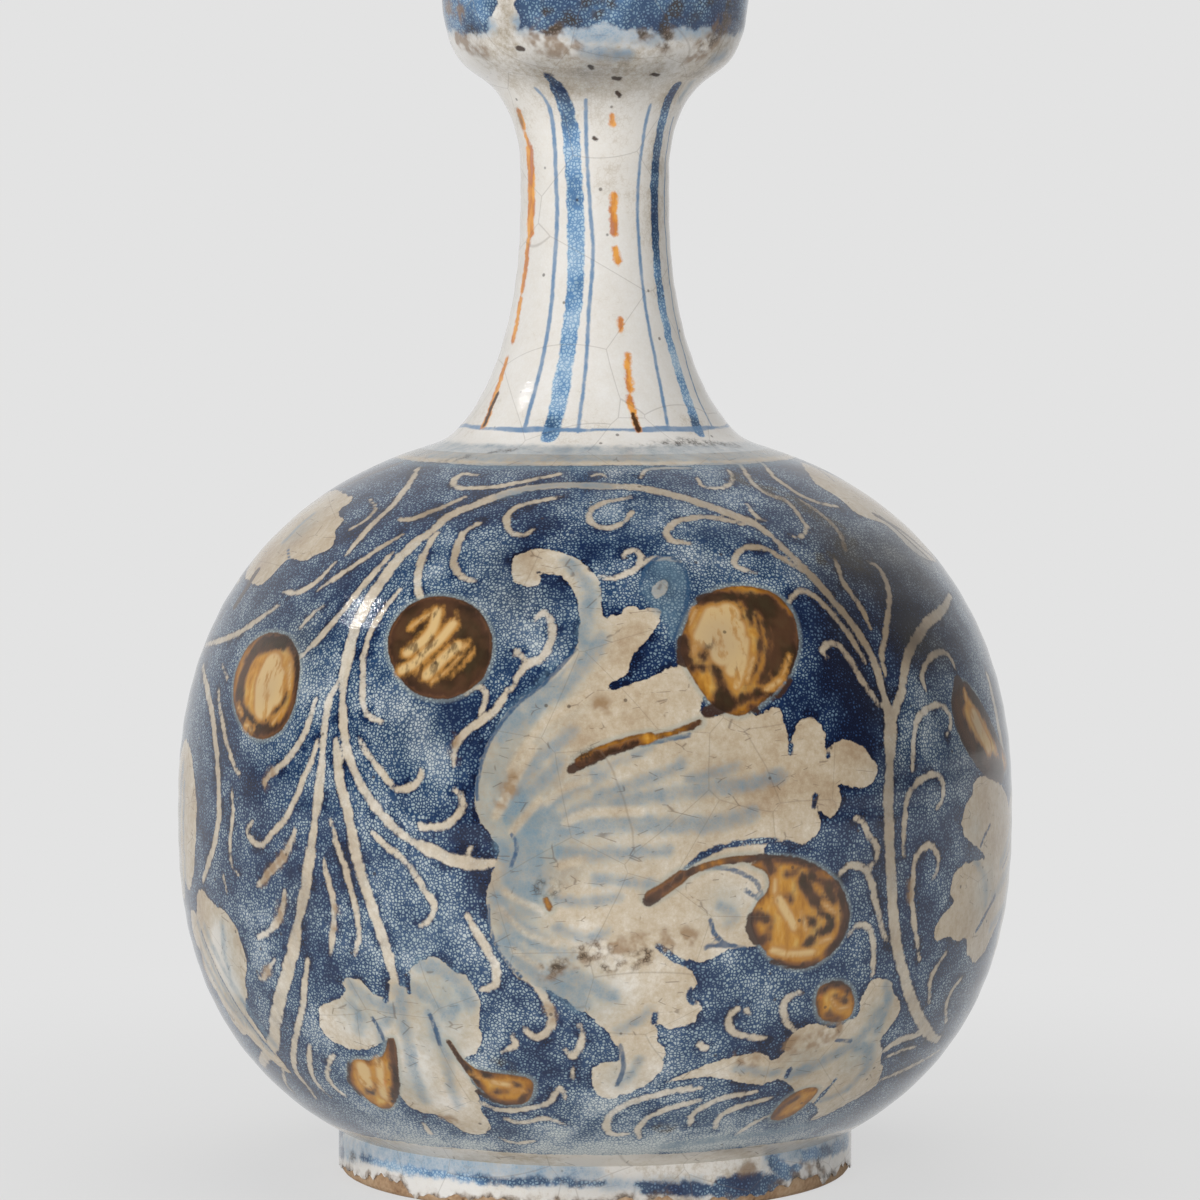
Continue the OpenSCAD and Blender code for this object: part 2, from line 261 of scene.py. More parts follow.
    (8, 764,614, 770,640, 768,664, 760,682), (5, 773,668, 767,684, 757,692),
    (4, 757,614, 761,640, 757,664, 748,682), (3, 749,610, 752,624), (3, 738,610, 741,622),
    (4, 734,668, 745,655), (14, 684,642, 684,660), (9, 704,655, 710,643), (5, 692,668, 704,668),
    (9, 716,666, 720,680, 727,694), (14, 722,696, 732,703), (13, 708,712, 724,706),
    (8, 737,702, 752,696, 770,692), (6, 750,706, 757,712), (4, 790,680, 781,694, 771,700),
    # Drop-shaped fruit
    (9, 834,884, 843,902, 845,920, 838,940, 828,952), (13, 803,880, 807,890, 815,900, 822,904),
    (9, 812,876, 826,886, 834,900), (6, 779,899, 786,896, 790,901), (6, 787,874, 795,872),
    (10, 752,918, 750,928, 757,940, 766,938), (9, 760,917, 767,920), (5, 769,927, 767,935),
    (7, 804,920, 812,922), (8, 822,932, 832,926), (8, 804,946, 810,941),
    (6, 745,860, 760,857, 772,858, 795,860, 818,869), (10, 768,862, 772,870),
    (5, 772,961, 795,967, 815,962), (5, 820,912, 832,918),
    # Fruit at the right edge
    (26, 960,688, 957,706, 962,726, 973,748, 988,766, 1001,771), (14, 966,688, 978,704, 990,726, 1000,752),
    # Small round fruit and pods
    (6, 821,992, 834,983, 848,990), (5, 836,997, 845,1003), (6, 828,1014, 837,1019),
    (8, 391,1042, 394,1065, 396,1088, 392,1100), (4, 349,1062, 349,1080, 360,1095), (8, 369,1092, 374,1085),
    (4, 449,1042, 459,1058, 470,1073, 481,1087), (6, 484,1074, 492,1076), (6, 496,1092, 506,1091),
    (5, 514,1084, 520,1086), (5, 528,1090, 522,1100), (5, 478,1092, 500,1102, 522,1102),
    (7, 774,1116, 786,1104, 796,1098),
    # Brown strokes at the left edge and on the shoulder
    (14, 236,604, 246,588, 256,572), (8, 345,486, 368,475, 400,463),
    (7, 875,515, 900,530, 922,548, 936,561),
), Layer.GLEAM: (
    # Round fruit
    (8, 410,628, 420,620, 430,614), (16, 437,612, 433,628, 424,640, 408,652),
    (15, 453,624, 440,640, 426,652, 414,664, 402,670), (16, 458,646, 446,656, 434,668, 427,675),
    (6, 468,642, 460,656, 448,670, 432,682), (4, 474,650, 464,664, 452,676), (5, 422,660, 417,673),
    (4, 457,612, 456,617),
    # Tall fruit
    (38, 264,704, 265,684, 271,668), (26, 276,696, 278,676), (9, 290,688, 290,664), (7, 272,724, 284,710),
    (9, 245,724, 252,730), (7, 238,706, 241,714),
    # Upper right fruit
    (28, 714,616, 708,630, 704,638), (30, 728,614, 723,636, 722,654), (20, 738,626, 738,650, 732,670),
    (12, 746,640, 743,666, 736,686), (8, 753,658, 747,680), (6, 783,674, 789,656), (9, 766,690, 780,680),
    (7, 694,654, 694,640), (7, 689,624, 696,610),
    # Fruit at the right edge
    (22, 974,716, 981,732, 988,746), (8, 964,692, 966,700),
    # Drop-shaped fruit
    (15, 779,900, 787,914, 794,926), (9, 801,912, 805,930), (12, 772,950, 790,954, 812,952),
    (8, 824,904, 834,912), (8, 819,942, 830,938), (9, 775,880, 774,892),
    # Pods and small round fruit
    (22, 363,1068, 366,1082), (15, 379,1062, 381,1080, 384,1096), (6, 386,1100, 390,1104),
    (11, 494,1082, 508,1085), (6, 514,1092, 524,1091), (5, 472,1074, 480,1078), (4, 790,1108, 800,1098),
    (7, 830,998, 838,1008, 848,1006),
), Layer.RUST: (
    (3, 384,1080, 387,1092), (3, 819,998, 821,992),
), Layer.SMOKE: (
    (14, 544,884, 552,888), (9, 578,758, 588,754), (10, 500,1064, 512,1068),
    (22, 740,478, 790,500, 840,530), (18, 838,556, 862,566), (16, 820,560, 850,540),
    (12, 548,968, 575,955, 605,950), (12, 605,970, 630,962, 655,950), (14, 660,1128, 668,1128),
), Layer.STAIN: (
    (5, 199,930, 205,970, 215,1000, 228,1025, 240,1045),
    # Brown ends of the small curls
    (11, 288,848, 277,864, 262,880), (9, 283,898, 279,916), (8, 334,910, 334,928), (8, 272,962, 264,976),
    (8, 266,784, 272,772), (8, 454,740, 455,758), (9, 549,1006, 552,1018), (7, 909,882, 909,898),
    # Stains on the leaves and along their edges
    (16, 545,972, 580,956, 610,948, 650,940, 690,936), (12, 610,970, 640,958, 660,948),
    (14, 600,705, 615,712), (14, 500,800, 515,780), (10, 440,1115, 458,1122),
    (18, 790,1045, 815,1040, 835,1030), (12, 735,1058, 755,1060),
)}

# Closed fields of colour: outlines in pixels of the same frame.
ROUND_FRUIT: Path = (
    388,648, 393,625, 407,607, 430,597, 455,598, 477,609, 490,630, 492,652, 484,676, 466,692, 442,699,
    416,693, 398,675,
)
BODY_FIELDS: Drawn = {Layer.LEAF: (
    # Middle leaf, from its hooked tip round the right-hand lobes and back along its base
    (534,569, 538,574, 542,580, 533,587, 522,585, 514,578, 512,565, 516,556, 530,551, 550,550, 570,555,
     585,565, 597,578, 600,592, 601,608, 606,618, 612,612, 618,616, 625,608, 634,606, 640,612, 650,608,
     660,612, 655,628, 645,642, 632,656, 628,672, 616,680, 606,688, 612,690, 624,685, 640,682, 655,676,
     672,668, 690,665, 705,690, 700,712, 715,715, 740,710, 760,715, 775,706, 782,715, 787,735, 790,740,
     797,725, 808,718, 818,722, 824,735, 826,748, 832,742, 845,740, 860,745, 870,755, 877,768, 873,780,
     865,788, 850,788, 840,782, 838,785, 840,800, 836,812, 828,816, 820,808, 815,802, 818,815, 819,828,
     812,840, 800,845, 780,843, 768,842, 764,855, 776,872, 776,900, 766,930, 757,945, 735,948, 725,950,
     715,957, 700,962, 688,960, 688,968, 695,975, 697,985, 692,990, 690,997, 698,1003, 700,1012, 695,1022,
     685,1025, 672,1028, 668,1028, 655,1020, 652,1022, 657,1030, 656,1040, 663,1048, 664,1062, 658,1073,
     645,1085, 630,1092, 612,1098, 600,1095, 593,1085, 592,1072, 600,1063, 610,1062, 620,1060, 615,1045,
     605,1030, 595,1020, 580,1010, 565,1000, 550,990, 535,985, 520,978, 508,965, 497,950, 490,930, 487,910,
     488,890, 490,875, 497,862, 500,848, 492,835, 481,822, 476,805, 476,785, 482,757, 492,735, 505,716,
     520,700, 540,685, 560,665, 575,648, 580,625, 577,600, 570,585, 558,575, 545,573),
    # Leaf at the lower left
    (340,985, 348,978, 360,980, 367,988, 375,995, 385,998, 387,985, 392,978, 400,985, 408,988, 408,975,
     415,965, 427,958, 438,958, 448,965, 455,972, 465,975, 472,985, 478,995, 480,1010, 478,1025, 482,1035,
     478,1050, 470,1056, 462,1065, 475,1085, 480,1105, 488,1120, 490,1128, 480,1134, 465,1132, 450,1122,
     438,1115, 420,1112, 408,1105, 400,1095, 397,1080, 395,1060, 388,1040, 375,1046, 352,1050, 335,1042,
     325,1035, 320,1022, 320,1008, 328,1002, 340,998, 345,990),
    # Leaf at the lower right
    (665,1082, 690,1072, 720,1060, 745,1054, 765,1054, 772,1060, 785,1050, 787,1042, 797,1030, 810,1023,
     822,1026, 838,1027, 848,1020, 855,1018, 860,1010, 860,1000, 866,990, 870,982, 880,978, 890,983,
     893,993, 898,1000, 900,1010, 895,1020, 887,1030, 880,1040, 882,1050, 880,1060, 882,1070, 875,1085,
     862,1095, 845,1105, 825,1115, 812,1120, 818,1108, 800,1098, 790,1085, 778,1080, 760,1085, 740,1083,
     720,1078, 700,1077, 680,1080),
    # Leaf at the right edge
    (975,780, 972,795, 965,805, 962,820, 964,835, 970,842, 978,848, 985,858, 970,862, 958,868, 952,880,
     950,895, 953,903, 945,912, 938,922, 933,935, 938,940, 948,937, 957,940, 965,938, 968,955, 976,962,
     990,940, 1004,900, 1010,860, 1010,820, 1004,790, 990,775),
    # Leaf at the left edge
    (198,890, 215,905, 228,915, 237,930, 242,945, 246,960, 245,980, 247,995, 245,1005, 250,1020, 255,1030,
     250,1036, 240,1032, 226,1010, 212,980, 200,940),
    (184,740, 192,760, 196,800, 195,850, 190,890, 181,860, 178,800),
    # Leaf at the upper left
    (300,500, 335,490, 352,498, 338,512, 343,520, 336,530, 333,546, 318,554, 303,561, 290,558, 280,566,
     270,577, 258,585, 245,575, 255,550, 275,525),
    # Leaf at the upper right
    (800,462, 830,474, 862,490, 892,510, 918,535, 936,560, 920,556, 902,540, 884,524, 858,514, 836,496,
     812,480),
    # Heart of the bud beside the upper fruit
    (651,590, 656,583, 664,580, 668,586, 664,595, 656,599),
), Layer.WASH: (
    # Bud beside the upper fruit
    (643,575, 650,562, 664,556, 680,562, 688,578, 686,600, 680,625, 672,640, 666,622, 655,612, 646,600,
     640,588),
), Layer.UMBER: (
    ROUND_FRUIT,
), Layer.OCHRE: (
    ROUND_FRUIT,
    # Tall fruit at the left and upper right fruit
    (233,690, 238,665, 250,644, 268,633, 286,636, 298,652, 299,680, 292,712, 278,733, 258,739, 242,725,
     235,708),
    (680,648, 686,622, 700,600, 722,588, 748,586, 775,594, 793,615, 798,645, 790,672, 772,694, 752,710,
     738,716, 716,708, 700,690, 688,670),
    # Fruit at the right edge, drop-shaped fruit, small round fruit and pods
    (953,705, 957,725, 965,745, 980,765, 1000,775, 1007,765, 1003,750, 995,735, 985,715, 975,695, 963,682,
     955,692),
    (755,905, 768,888, 765,872, 750,864, 770,857, 800,860, 826,872, 843,892, 848,915, 840,940, 822,960,
     798,968, 774,960, 758,942, 750,922),
    (815,1002, 820,986, 834,982, 848,986, 854,1002, 848,1018, 834,1022, 820,1018),
    (395,1040, 398,1065, 398,1090, 392,1107, 380,1108, 365,1098, 352,1085, 348,1070, 355,1060, 370,1060,
     383,1055, 388,1040),
    (450,1040, 460,1055, 475,1068, 490,1072, 515,1075, 532,1080, 533,1092, 525,1103, 505,1104, 490,1098,
     478,1085, 465,1068),
    (770,1118, 780,1103, 795,1092, 812,1087, 818,1090, 808,1102, 795,1113, 780,1120),
)}

# Soft patches: place and reach in pixels, then strength. TONE above zero is paler.
# Besides uneven tone, the tone patches hold painted light on the band above the foot, under the body's
# overhang, and painted shade on the right side.
BODY_SHADES: Softened = {Shade.TONE: (
    (280,800, 130, 0.1), (470,980, 130, 0.12), (440,730, 80, 0.15), (330,900, 90, 0.06), (250,640, 70, 0.1),
    (810,540, 70, 0.1), (640,1120, 120, 0.06), (930,780, 70, 0.05), (830,640, 60, -0.1),
    (560,530, 110, -0.04), (440,570, 60, 0.16), (420,1050, 80, 0.2), (220,960, 60, 0.25),
    (600,940, 80, 0.06), (640,1000, 60, 0.06), (865,720, 40, -0.25), (640,520, 60, 0.08),
    (565,530, 45, -0.16), (640,545, 25, -0.16), (545,595, 30, -0.14), (470,835, 32, -0.25),
    (475,885, 26, -0.25), (430,808, 24, -0.12), (510,852, 20, -0.2), (220,870, 24, -0.15),
    (340,985, 22, -0.2), (386,985, 18, -0.2), (825,705, 50, -0.2), (887,702, 20, -0.15),
    (880,960, 35, -0.12), (920,920, 40, -0.1), (775,1045, 26, -0.2), (545,1065, 40, -0.15),
    (450,955, 30, -0.1), (820,640, 45, -0.1), (745,985, 40, -0.08), (850,850, 45, -0.08),
    (960,640, 50, -0.06), (430,740, 55, 0.08), (410,940, 55, 0.12), (290,800, 60, 0.06),
    (350,900, 50, 0.08), (250,640, 45, 0.08), (470,620, 40, 0.06), (560,620, 30, 0.05), (620,640, 25, 0.12),
    (640,1125, 60, 0.04), (700,1140, 60, 0.08), (260,960, 40, 0.06), (840,520, 40, 0.1),
    (360,560, 40, 0.08), (400,1146, 50, 0.4), (520,1158, 60, 0.35), (650,1158, 60, 0.3),
    (780,1146, 50, 0.35), (430,930, 50, 0.12), (640,520, 50, 0.14), (430,560, 45, 0.15),
    (550,640, 30, 0.15), (300,640, 40, -0.12), (800,520, 40, -0.1),
    (640,720, 40, -0.3), (905,560, 45, -0.12), (845,555, 34, -0.3), (935,595, 36, -0.1),
    (905,1058, 22, -0.25), (720,1035, 22, 0.2), (562,530, 26, -0.22), (405,920, 24, -0.25),
    (262,800, 24, -0.18), (440,776, 28, 0.3), (920,985, 24, 0.12), (530,562, 17, -0.5),
    (415,1060, 24, 0.55), (455,1105, 24, 0.55), (630,990, 26, 0.08), (350,1015, 20, 0.22),
    (975,900, 20, 0.25), (217,935, 20, 0.45), (232,985, 18, 0.45), (350,890, 24, -0.25),
    (405,905, 22, -0.2), (250,780, 24, -0.2), (500,1000, 26, -0.15), (595,1120, 60, 0.15),
    (640,520, 40, 0.15), (430,560, 40, 0.15), (430,930, 40, 0.08), (220,955, 34, 0.7), (905,620, 40, -0.5),
    (640,700, 50, -0.2), (310,530, 30, -0.25), (430,930, 30, 0.1), (520,445, 40, 0.45), (600,440, 50, 0.45),
    (680,445, 40, 0.4), (575,1050, 26, 0.08), (460,1152, 60, 0.6), (590,1160, 60, 0.6), (720,1154, 60, 0.6),
    (350,1138, 40, 0.6), (820,1142, 40, 0.5), (930,740, 50, 0.1), (700,472, 36, 0.3), (600,512, 36, 0.25),
    (480,535, 36, 0.08), (455,503, 22, 0.12), (430,560, 30, -0.12), (690,540, 40, 0.12),
    (680,482, 14, -0.2), (760,1010, 26, 0.25), (940,900, 24, 0.15), (600,930, 40, 0.4), (220,950, 20, 0.5),
    (410,725, 40, -0.08), (620,650, 24, -0.6), (720,800, 26, -0.4), (830,790, 20, -0.45),
    (850,752, 16, -0.35), (700,840, 24, -0.3), (760,800, 24, -0.35), (590,700, 22, -0.25),
), Shade.AGED: (
    (600,490, 60, 0.3), (700,512, 60, 0.45), (780,560, 50, 0.6), (840,600, 50, 0.6), (880,640, 40, 0.5),
    (700,545, 50, 0.3), (600,515, 40, 0.3), (460,555, 30, 0.6), (430,512, 26, 0.8), (395,543, 20, 0.6),
    (372,510, 14, 0.8), (530,640, 30, 0.3), (790,500, 40, 0.5), (510,520, 30, 0.3), (420,560, 20, 0.3),
    (366,680, 16, 0.3), (889,780, 40, 0.3), (890,850, 40, 0.25), (912,645, 30, 0.4),
), Shade.FILM: (
    # Grey film: partly real dulling, partly painted shade on the right side and the upper right, where less
    # light falls.
    (905,560, 45, 0.6), (935,595, 40, 0.5), (845,555, 45, 0.6), (880,545, 40, 0.4), (912,640, 26, 0.5),
    (889,760, 18, 0.4), (690,500, 30, 0.2), (810,575, 30, 0.35), (850,630, 30, 0.35), (770,535, 26, 0.25),
    (725,645, 45, 0.2), (978,725, 20, 0.3), (960,655, 30, 0.3), (860,560, 60, 0.5), (910,615, 60, 0.6),
    (820,515, 40, 0.3), (850,660, 40, 0.35), (960,640, 30, 0.2), (870,880, 50, 0.3), (260,610, 50, 0.3),
    (300,640, 36, 0.35), (545,600, 40, 0.25), (440,730, 50, 0.2), (700,560, 40, 0.15), (889,800, 24, 0.35),
    (885,710, 24, 0.35), (893,880, 22, 0.3), (830,590, 30, 0.3), (930,800, 40, 0.2), (300,905, 26, 0.4),
    (665,592, 18, 0.25), (560,640, 16, 0.25), (715,640, 30, 0.3), (266,690, 24, 0.2), (270,690, 14, 0.1),
    (930,700, 50, 0.4), (900,770, 50, 0.3), (960,760, 40, 0.3), (870,690, 30, 0.2), (905,650, 24, 0.2),
    (840,610, 24, 0.2), (893,940, 24, 0.25), (975,720, 24, 0.25), (889,840, 22, 0.2), (892,526, 22, 0.6),
    (922,556, 20, 0.9), (905,545, 20, 0.2), (940,650, 24, 0.6), (505,560, 30, 0.35), (480,600, 30, 0.25),
    (515,600, 25, 0.3), (500,640, 30, 0.2), (300,640, 30, 0.15), (410,725, 40, 0.15),
), Shade.HAZE: (
    (495,770, 40, 0.55), (495,815, 34, 0.55), (520,720, 34, 0.5), (560,690, 28, 0.4), (582,640, 24, 0.6),
    (592,600, 22, 0.5), (505,900, 30, 0.6), (520,945, 34, 0.55), (560,985, 36, 0.5), (530,850, 34, 0.6),
    (560,800, 44, 0.35), (620,830, 60, 0.25), (700,790, 50, 0.2), (575,562, 20, 0.3), (600,1000, 30, 0.4),
    (430,985, 36, 0.6), (440,1040, 36, 0.5), (360,1010, 34, 0.6), (412,1085, 26, 0.5), (460,1000, 20, 0.5),
    (225,940, 30, 0.4), (235,990, 30, 0.4), (862,1050, 30, 0.6), (800,1062, 30, 0.4), (880,1010, 20, 0.5),
    (985,890, 26, 0.5), (975,830, 20, 0.3), (300,530, 24, 0.4), (620,1075, 20, 0.4), (725,905, 22, 0.4),
    (520,822, 18, 0.7), (530,900, 18, 0.4), (560,860, 24, 0.35), (600,590, 14, 0.3),
)}

# Sides of the body, drawn as if they faced the camera: the rest of the leaves that the photograph cuts off.
LEFT_FIELDS: Drawn = {Layer.LEAF: (
    (640,800, 628,808, 622,822, 630,832, 618,842, 612,858, 620,870, 612,882, 614,900, 628,908, 626,924,
     640,936, 668,946, 690,930, 690,860, 680,800),
    (712,950, 702,968, 706,986, 718,994, 712,1012, 722,1028, 738,1030, 742,1050, 760,1062, 778,1080,
     800,1090, 800,1040, 770,990, 740,952),
)}
LEFT_STROKES: Drawn = {Layer.WASH: (
    (12, 690,800, 676,850, 672,900, 680,935), (10, 660,815, 650,850, 652,890),
    (10, 636,850, 640,890, 655,915), (10, 705,820, 700,870, 704,920), (10, 735,960, 762,1010, 795,1070),
    (9, 722,990, 745,1020, 770,1050), (9, 760,960, 795,1015, 815,1060),
), Layer.LINE: (
    (3, 684,800, 668,850, 664,900, 672,940), (3, 640,840, 636,870, 646,900),
    (3, 745,965, 772,1015, 800,1075),
)}
RIGHT_FIELDS: Drawn = {Layer.LEAF: (
    (500,850, 520,835, 545,830, 562,842, 560,858, 575,868, 582,885, 572,900, 585,915, 588,935, 575,950,
     578,970, 562,985, 548,1000, 530,1012, 515,1000, 500,960, 495,900),
)}
RIGHT_STROKES: Drawn = {Layer.WASH: (
    (11, 440,930, 490,915, 540,905), (11, 450,962, 500,952, 550,945), (9, 460,900, 500,880, 540,862),
    (9, 480,985, 520,975, 550,970),
), Layer.LINE: (
    (3, 470,985, 515,955, 560,938), (3, 470,905, 510,890, 550,880),
)}

# Neck: bands and dashes that run up it.
NECK_STROKES: Drawn = {Layer.SLIT: (
    (10, 548,76, 556,86), (16, 556,86, 565,105, 570,125), (18, 570,125, 573,160, 575,195, 576,230, 576,265),
    (17, 576,265, 574,300, 569,340, 563,375), (18, 563,375, 558,405, 553,425, 549,437),
    (13, 676,86, 668,100, 661,125, 656,155, 654,190), (12, 654,190, 655,230, 657,270, 662,305, 671,345),
    (13, 671,345, 681,380, 691,410, 699,432),
), Layer.LINE: (
    (3, 535,88, 543,96, 549,106),
    (4, 549,106, 553,125, 555,150, 556,180, 557,205, 556,240, 554,270, 552,300, 547,335, 540,370, 531,405,
     524,430),
    (3, 586,100, 586,130, 587,160, 589,190, 591,220, 593,245, 592,275, 589,310, 587,350, 584,385, 580,415,
     578,432),
    (3, 650,105, 645,125, 641,150, 638,180, 637,215, 639,250, 642,285, 647,320, 654,355, 661,390, 667,424),
    (2, 673,118, 668,140, 665,170, 664,200, 666,240, 669,275, 674,310, 683,350, 697,395, 713,428),
), Layer.RUST: (
    (9, 519,112, 523,126), (6, 526,135, 529,148), (14, 529,150, 531,175, 531,200, 530,232),
    (8, 528,240, 526,262, 522,290), (8, 520,300, 516,325, 513,340), (8, 506,360, 500,380, 493,400, 484,426),
    (5, 612,116, 613,124), (8, 614,196, 613,215, 614,232), (7, 615,250, 618,262), (6, 620,320, 621,330),
    (7, 627,356, 628,375, 630,390), (7, 629,398, 633,415, 638,430),
), Layer.UMBER: (
    (5, 497,394, 490,410, 484,426), (5, 632,414, 635,422, 638,430), (3, 594,138, 596,139),
), Layer.STAIN: (
    (7, 519,112, 522,125),
), Layer.SMOKE: (
    (10, 636,446, 690,443, 738,446), (12, 440,462, 465,457), (8, 492,452, 512,450),
)}
NECK_SHADES: Softened = {Shade.TONE: (
    (553,425, 18, -0.35), (695,424, 16, -0.35), (560,90, 14, -0.25), (672,96, 14, -0.3),
    (576,260, 30, 0.06), (654,160, 18, -0.3), (655,220, 18, -0.3), (660,290, 18, -0.25),
)}

# Rings at the foot of the neck: upper and lower pixel row at the bottle's axis.
AXIS_PX = 595
SHOULDER_RINGS: Drawn = {
    Layer.LINE: ((428, 432),),
    Layer.LEAF: ((400, 466),),
    Layer.WASH: ((446, 462), (465, 470)),
}
# Mouth: breaks in the blue, stains and specks.
MOUTH_STROKES: Drawn = {Layer.BARE: (
    (12, 500,-70, 506,-52), (20, 504,-46, 499,-30), (25, 503,-22, 507,-4), (20, 505,4, 509,14),
    (28, 507,20, 500,30), (9, 450,-60, 466,-72), (8, 660,-78, 684,-80),
), Layer.WASH: (
    (32, 575,27, 620,29, 660,29), (14, 586,52, 626,54), (20, 522,24, 560,26, 590,26),
    (20, 650,27, 690,28, 740,24), (18, 440,25, 488,27), (12, 712,60, 722,57), (8, 680,100, 690,84),
    (18, 400,26, 440,26), (18, 740,26, 780,26),
), Layer.STAIN: (
    (26, 696,54, 712,40, 724,24), (22, 458,40, 480,48), (13, 664,46, 668,36), (24, 535,42, 570,50),
    (12, 640,36, 650,32), (9, 668,32, 666,47), (16, 545,24, 556,30), (20, 448,4, 460,12),
), Layer.SMOKE: (
    (13, 546,10, 560,15), (9, 560,26, 550,30), (12, 600,14, 610,2), (16, 660,28, 668,20, 676,6),
    (9, 640,34, 650,30), (18, 722,26, 730,6), (12, 585,2, 600,0), (12, 704,46, 714,36), (9, 664,44, 668,36),
    (9, 470,30, 478,34), (12, 566,16, 574,22), (12, 560,-42, 574,-30), (9, 640,-62, 652,-52),
    (14, 700,-32, 716,-42), (10, 470,-30, 480,-20), (12, 596,-76, 622,-78), (10, 700,6, 712,2),
    (8, 690,20, 696,14),
), Layer.UMBER: (
    (6, 518,48, 523,49), (5, 614,78, 619,79), (5, 617,92, 620,96), (4, 652,74, 657,75), (4, 590,66, 592,68),
)}
# Painted shade under the overhang of the mouth's cup, as darker tone and grey film, with some dirt.
MOUTH_SHADES: Softened = {Shade.TONE: (
    (600,78, 60, -0.3), (500,66, 50, -0.3), (700,66, 50, -0.3), (560,8, 30, -0.12), (640,12, 40, 0.06),
    (506,0, 15, -0.55), (508,20, 16, -0.45), (500,34, 16, -0.3), (502,-25, 14, -0.5), (502,-48, 13, -0.5),
    (503,-64, 12, -0.5), (715,14, 30, -0.15), (460,10, 30, 0.1),
), Shade.FILM: (
    (600,70, 40, 0.85), (540,66, 40, 0.65), (506,8, 16, 0.25), (506,30, 16, 0.25), (665,66, 40, 0.65),
    (480,56, 30, 0.45), (725,50, 30, 0.6), (580,100, 30, 0.12), (640,100, 30, 0.15),
)}

# Foot: blue over white, and brown where the glaze is worn.
FOOT_STROKES: Drawn = {Layer.SLIT: (
    (7, 362,1157, 400,1167, 440,1174, 480,1178), (9, 480,1180, 540,1182, 600,1183),
    (14, 640,1187, 690,1189, 720,1190), (26, 722,1188, 745,1186, 770,1186),
    (18, 772,1162, 786,1172, 796,1164), (12, 800,1156, 838,1147, 846,1142),
    (12, 300,1130, 330,1146, 345,1152),
), Layer.WASH: (
    (24, 345,1146, 380,1152, 420,1161, 480,1168, 540,1172, 592,1174), (10, 600,1182, 650,1184, 700,1184),
    (20, 770,1158, 800,1152, 846,1136), (24, 290,1110, 320,1132, 345,1146),
), Layer.BARE: (
    (16, 596,1194, 632,1194), (12, 790,1160, 796,1158), (14, 540,1194, 562,1192),
), Layer.STAIN: (
    (4, 348,1172, 368,1184, 400,1194, 440,1200), (10, 742,1170, 752,1166), (9, 780,1194, 800,1190),
    (8, 816,1166, 822,1172), (10, 440,1197, 500,1204), (14, 795,1172, 810,1166),
), Layer.SMOKE: (
    (5, 815,1180, 835,1170), (8, 818,1162, 820,1168), (7, 352,1155, 360,1160),
)}
# Painted light and shade on the foot: paler at the left, darker and greyer from the middle to the right.
FOOT_SHADES: Softened = {Shade.TONE: (
    (745,1188, 30, -0.35), (690,1188, 24, -0.1), (420,1176, 40, 0.05), (540,1184, 50, 0.1),
    (840,1145, 24, -0.15), (650,1170, 60, -0.2), (390,1182, 40, 0.9), (450,1192, 40, 0.35),
    (600,1178, 40, -0.12),
), Shade.FILM: (
    (640,1172, 60, 0.3), (560,1178, 50, 0.25), (600,1178, 40, 0.15), (800,1165, 50, 0.3),
    (750,1165, 30, 0.25),
)}


@dataclass(frozen=True)
class PhotoView:
    """Camera at the photograph's viewing angle, and the way from its pixels to the bottle."""

    frame_px: float = 1200.0
    focal_px: float = 5136.0
    drop_px: float = 355.0
    distance: float = 1.450
    height: float = 0.262
    side: float = 0.0014
    sensor_mm: float = 36.0

    @property
    def pitch(self) -> float:
        """Angle by which the camera looks down."""
        return math.atan(self.drop_px / self.focal_px)

    def build(self) -> None:
        """Make the scene's camera."""
        lens = bpy.data.cameras.new("photo_camera")
        lens.sensor_width = self.sensor_mm
        lens.lens = self.sensor_mm * self.focal_px / self.frame_px
        camera = bpy.data.objects.new("photo_camera", lens)
        camera.location = (self.side, -self.distance, self.height)
        camera.rotation_euler = (math.pi / 2 - self.pitch, 0.0, 0.0)
        bpy.context.scene.collection.objects.link(camera)
        bpy.context.scene.camera = camera

    def rays(self, pixels: np.ndarray) -> tuple[np.ndarray, np.ndarray]:
        """Find the line of sight of each pixel.

        Args:
            pixels: Places in the frame, one row each.

        Returns:
            The camera's place, and one direction for each pixel with a forward part of one.
        """
        across = (pixels[:, 0] - self.frame_px / 2) / self.focal_px
        up = (self.frame_px / 2 - pixels[:, 1]) / self.focal_px
        sine, cosine = math.sin(self.pitch), math.cos(self.pitch)
        directions = np.stack([across, cosine + sine * up, cosine * up - sine], axis=1)
        return np.array([self.side, -self.distance, self.height]), directions


def half_plane(node: str) -> np.ndarray:
    """Find the profile points of a turned node.

    Args:
        node: Name of the CAD node.

    Returns:
        Radius and height of each point, one row each, from the lowest up.
    """
    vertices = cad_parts[node].data.vertices
    ahead = [v.co for v in vertices if abs(v.co.y) < HAIR and v.co.x > 0]
    points = {(round(place.x, HAIR_DIGITS), round(place.z, HAIR_DIGITS)) for place in ahead}
    return np.array(sorted(points, key=lambda p: (p[1], p[0])))


def smooth_path(points: np.ndarray, steps: int) -> np.ndarray:
    """Lay a smooth curve through points.

    Args:
        points: The points, one row each.
        steps: Parts into which each span is cut.

    Returns:
        Points along the curve, the given ones among them.
    """
    if len(points) < 3:
        return points
    padded = np.vstack([2 * points[0] - points[1], points, 2 * points[-1] - points[-2]])
    t = np.linspace(0, 1, steps, endpoint=False)[:, None]
    spans = []
    for before, start, end, after in zip(padded, padded[1:], padded[2:], padded[3:]):
        bend = 2 * before - 5 * start + 4 * end - after
        twist = 3 * (start - end) + after - before
        spans.append(start + 0.5 * t * ((end - before) + t * (bend + t * twist)))
    return np.vstack(spans + [points[-1:]])


def run_length(points: np.ndarray) -> np.ndarray:
    """Find how far along a path each of its points lies."""
    return np.concatenate([[0.0], np.cumsum(np.linalg.norm(np.diff(points, axis=0), axis=1))])


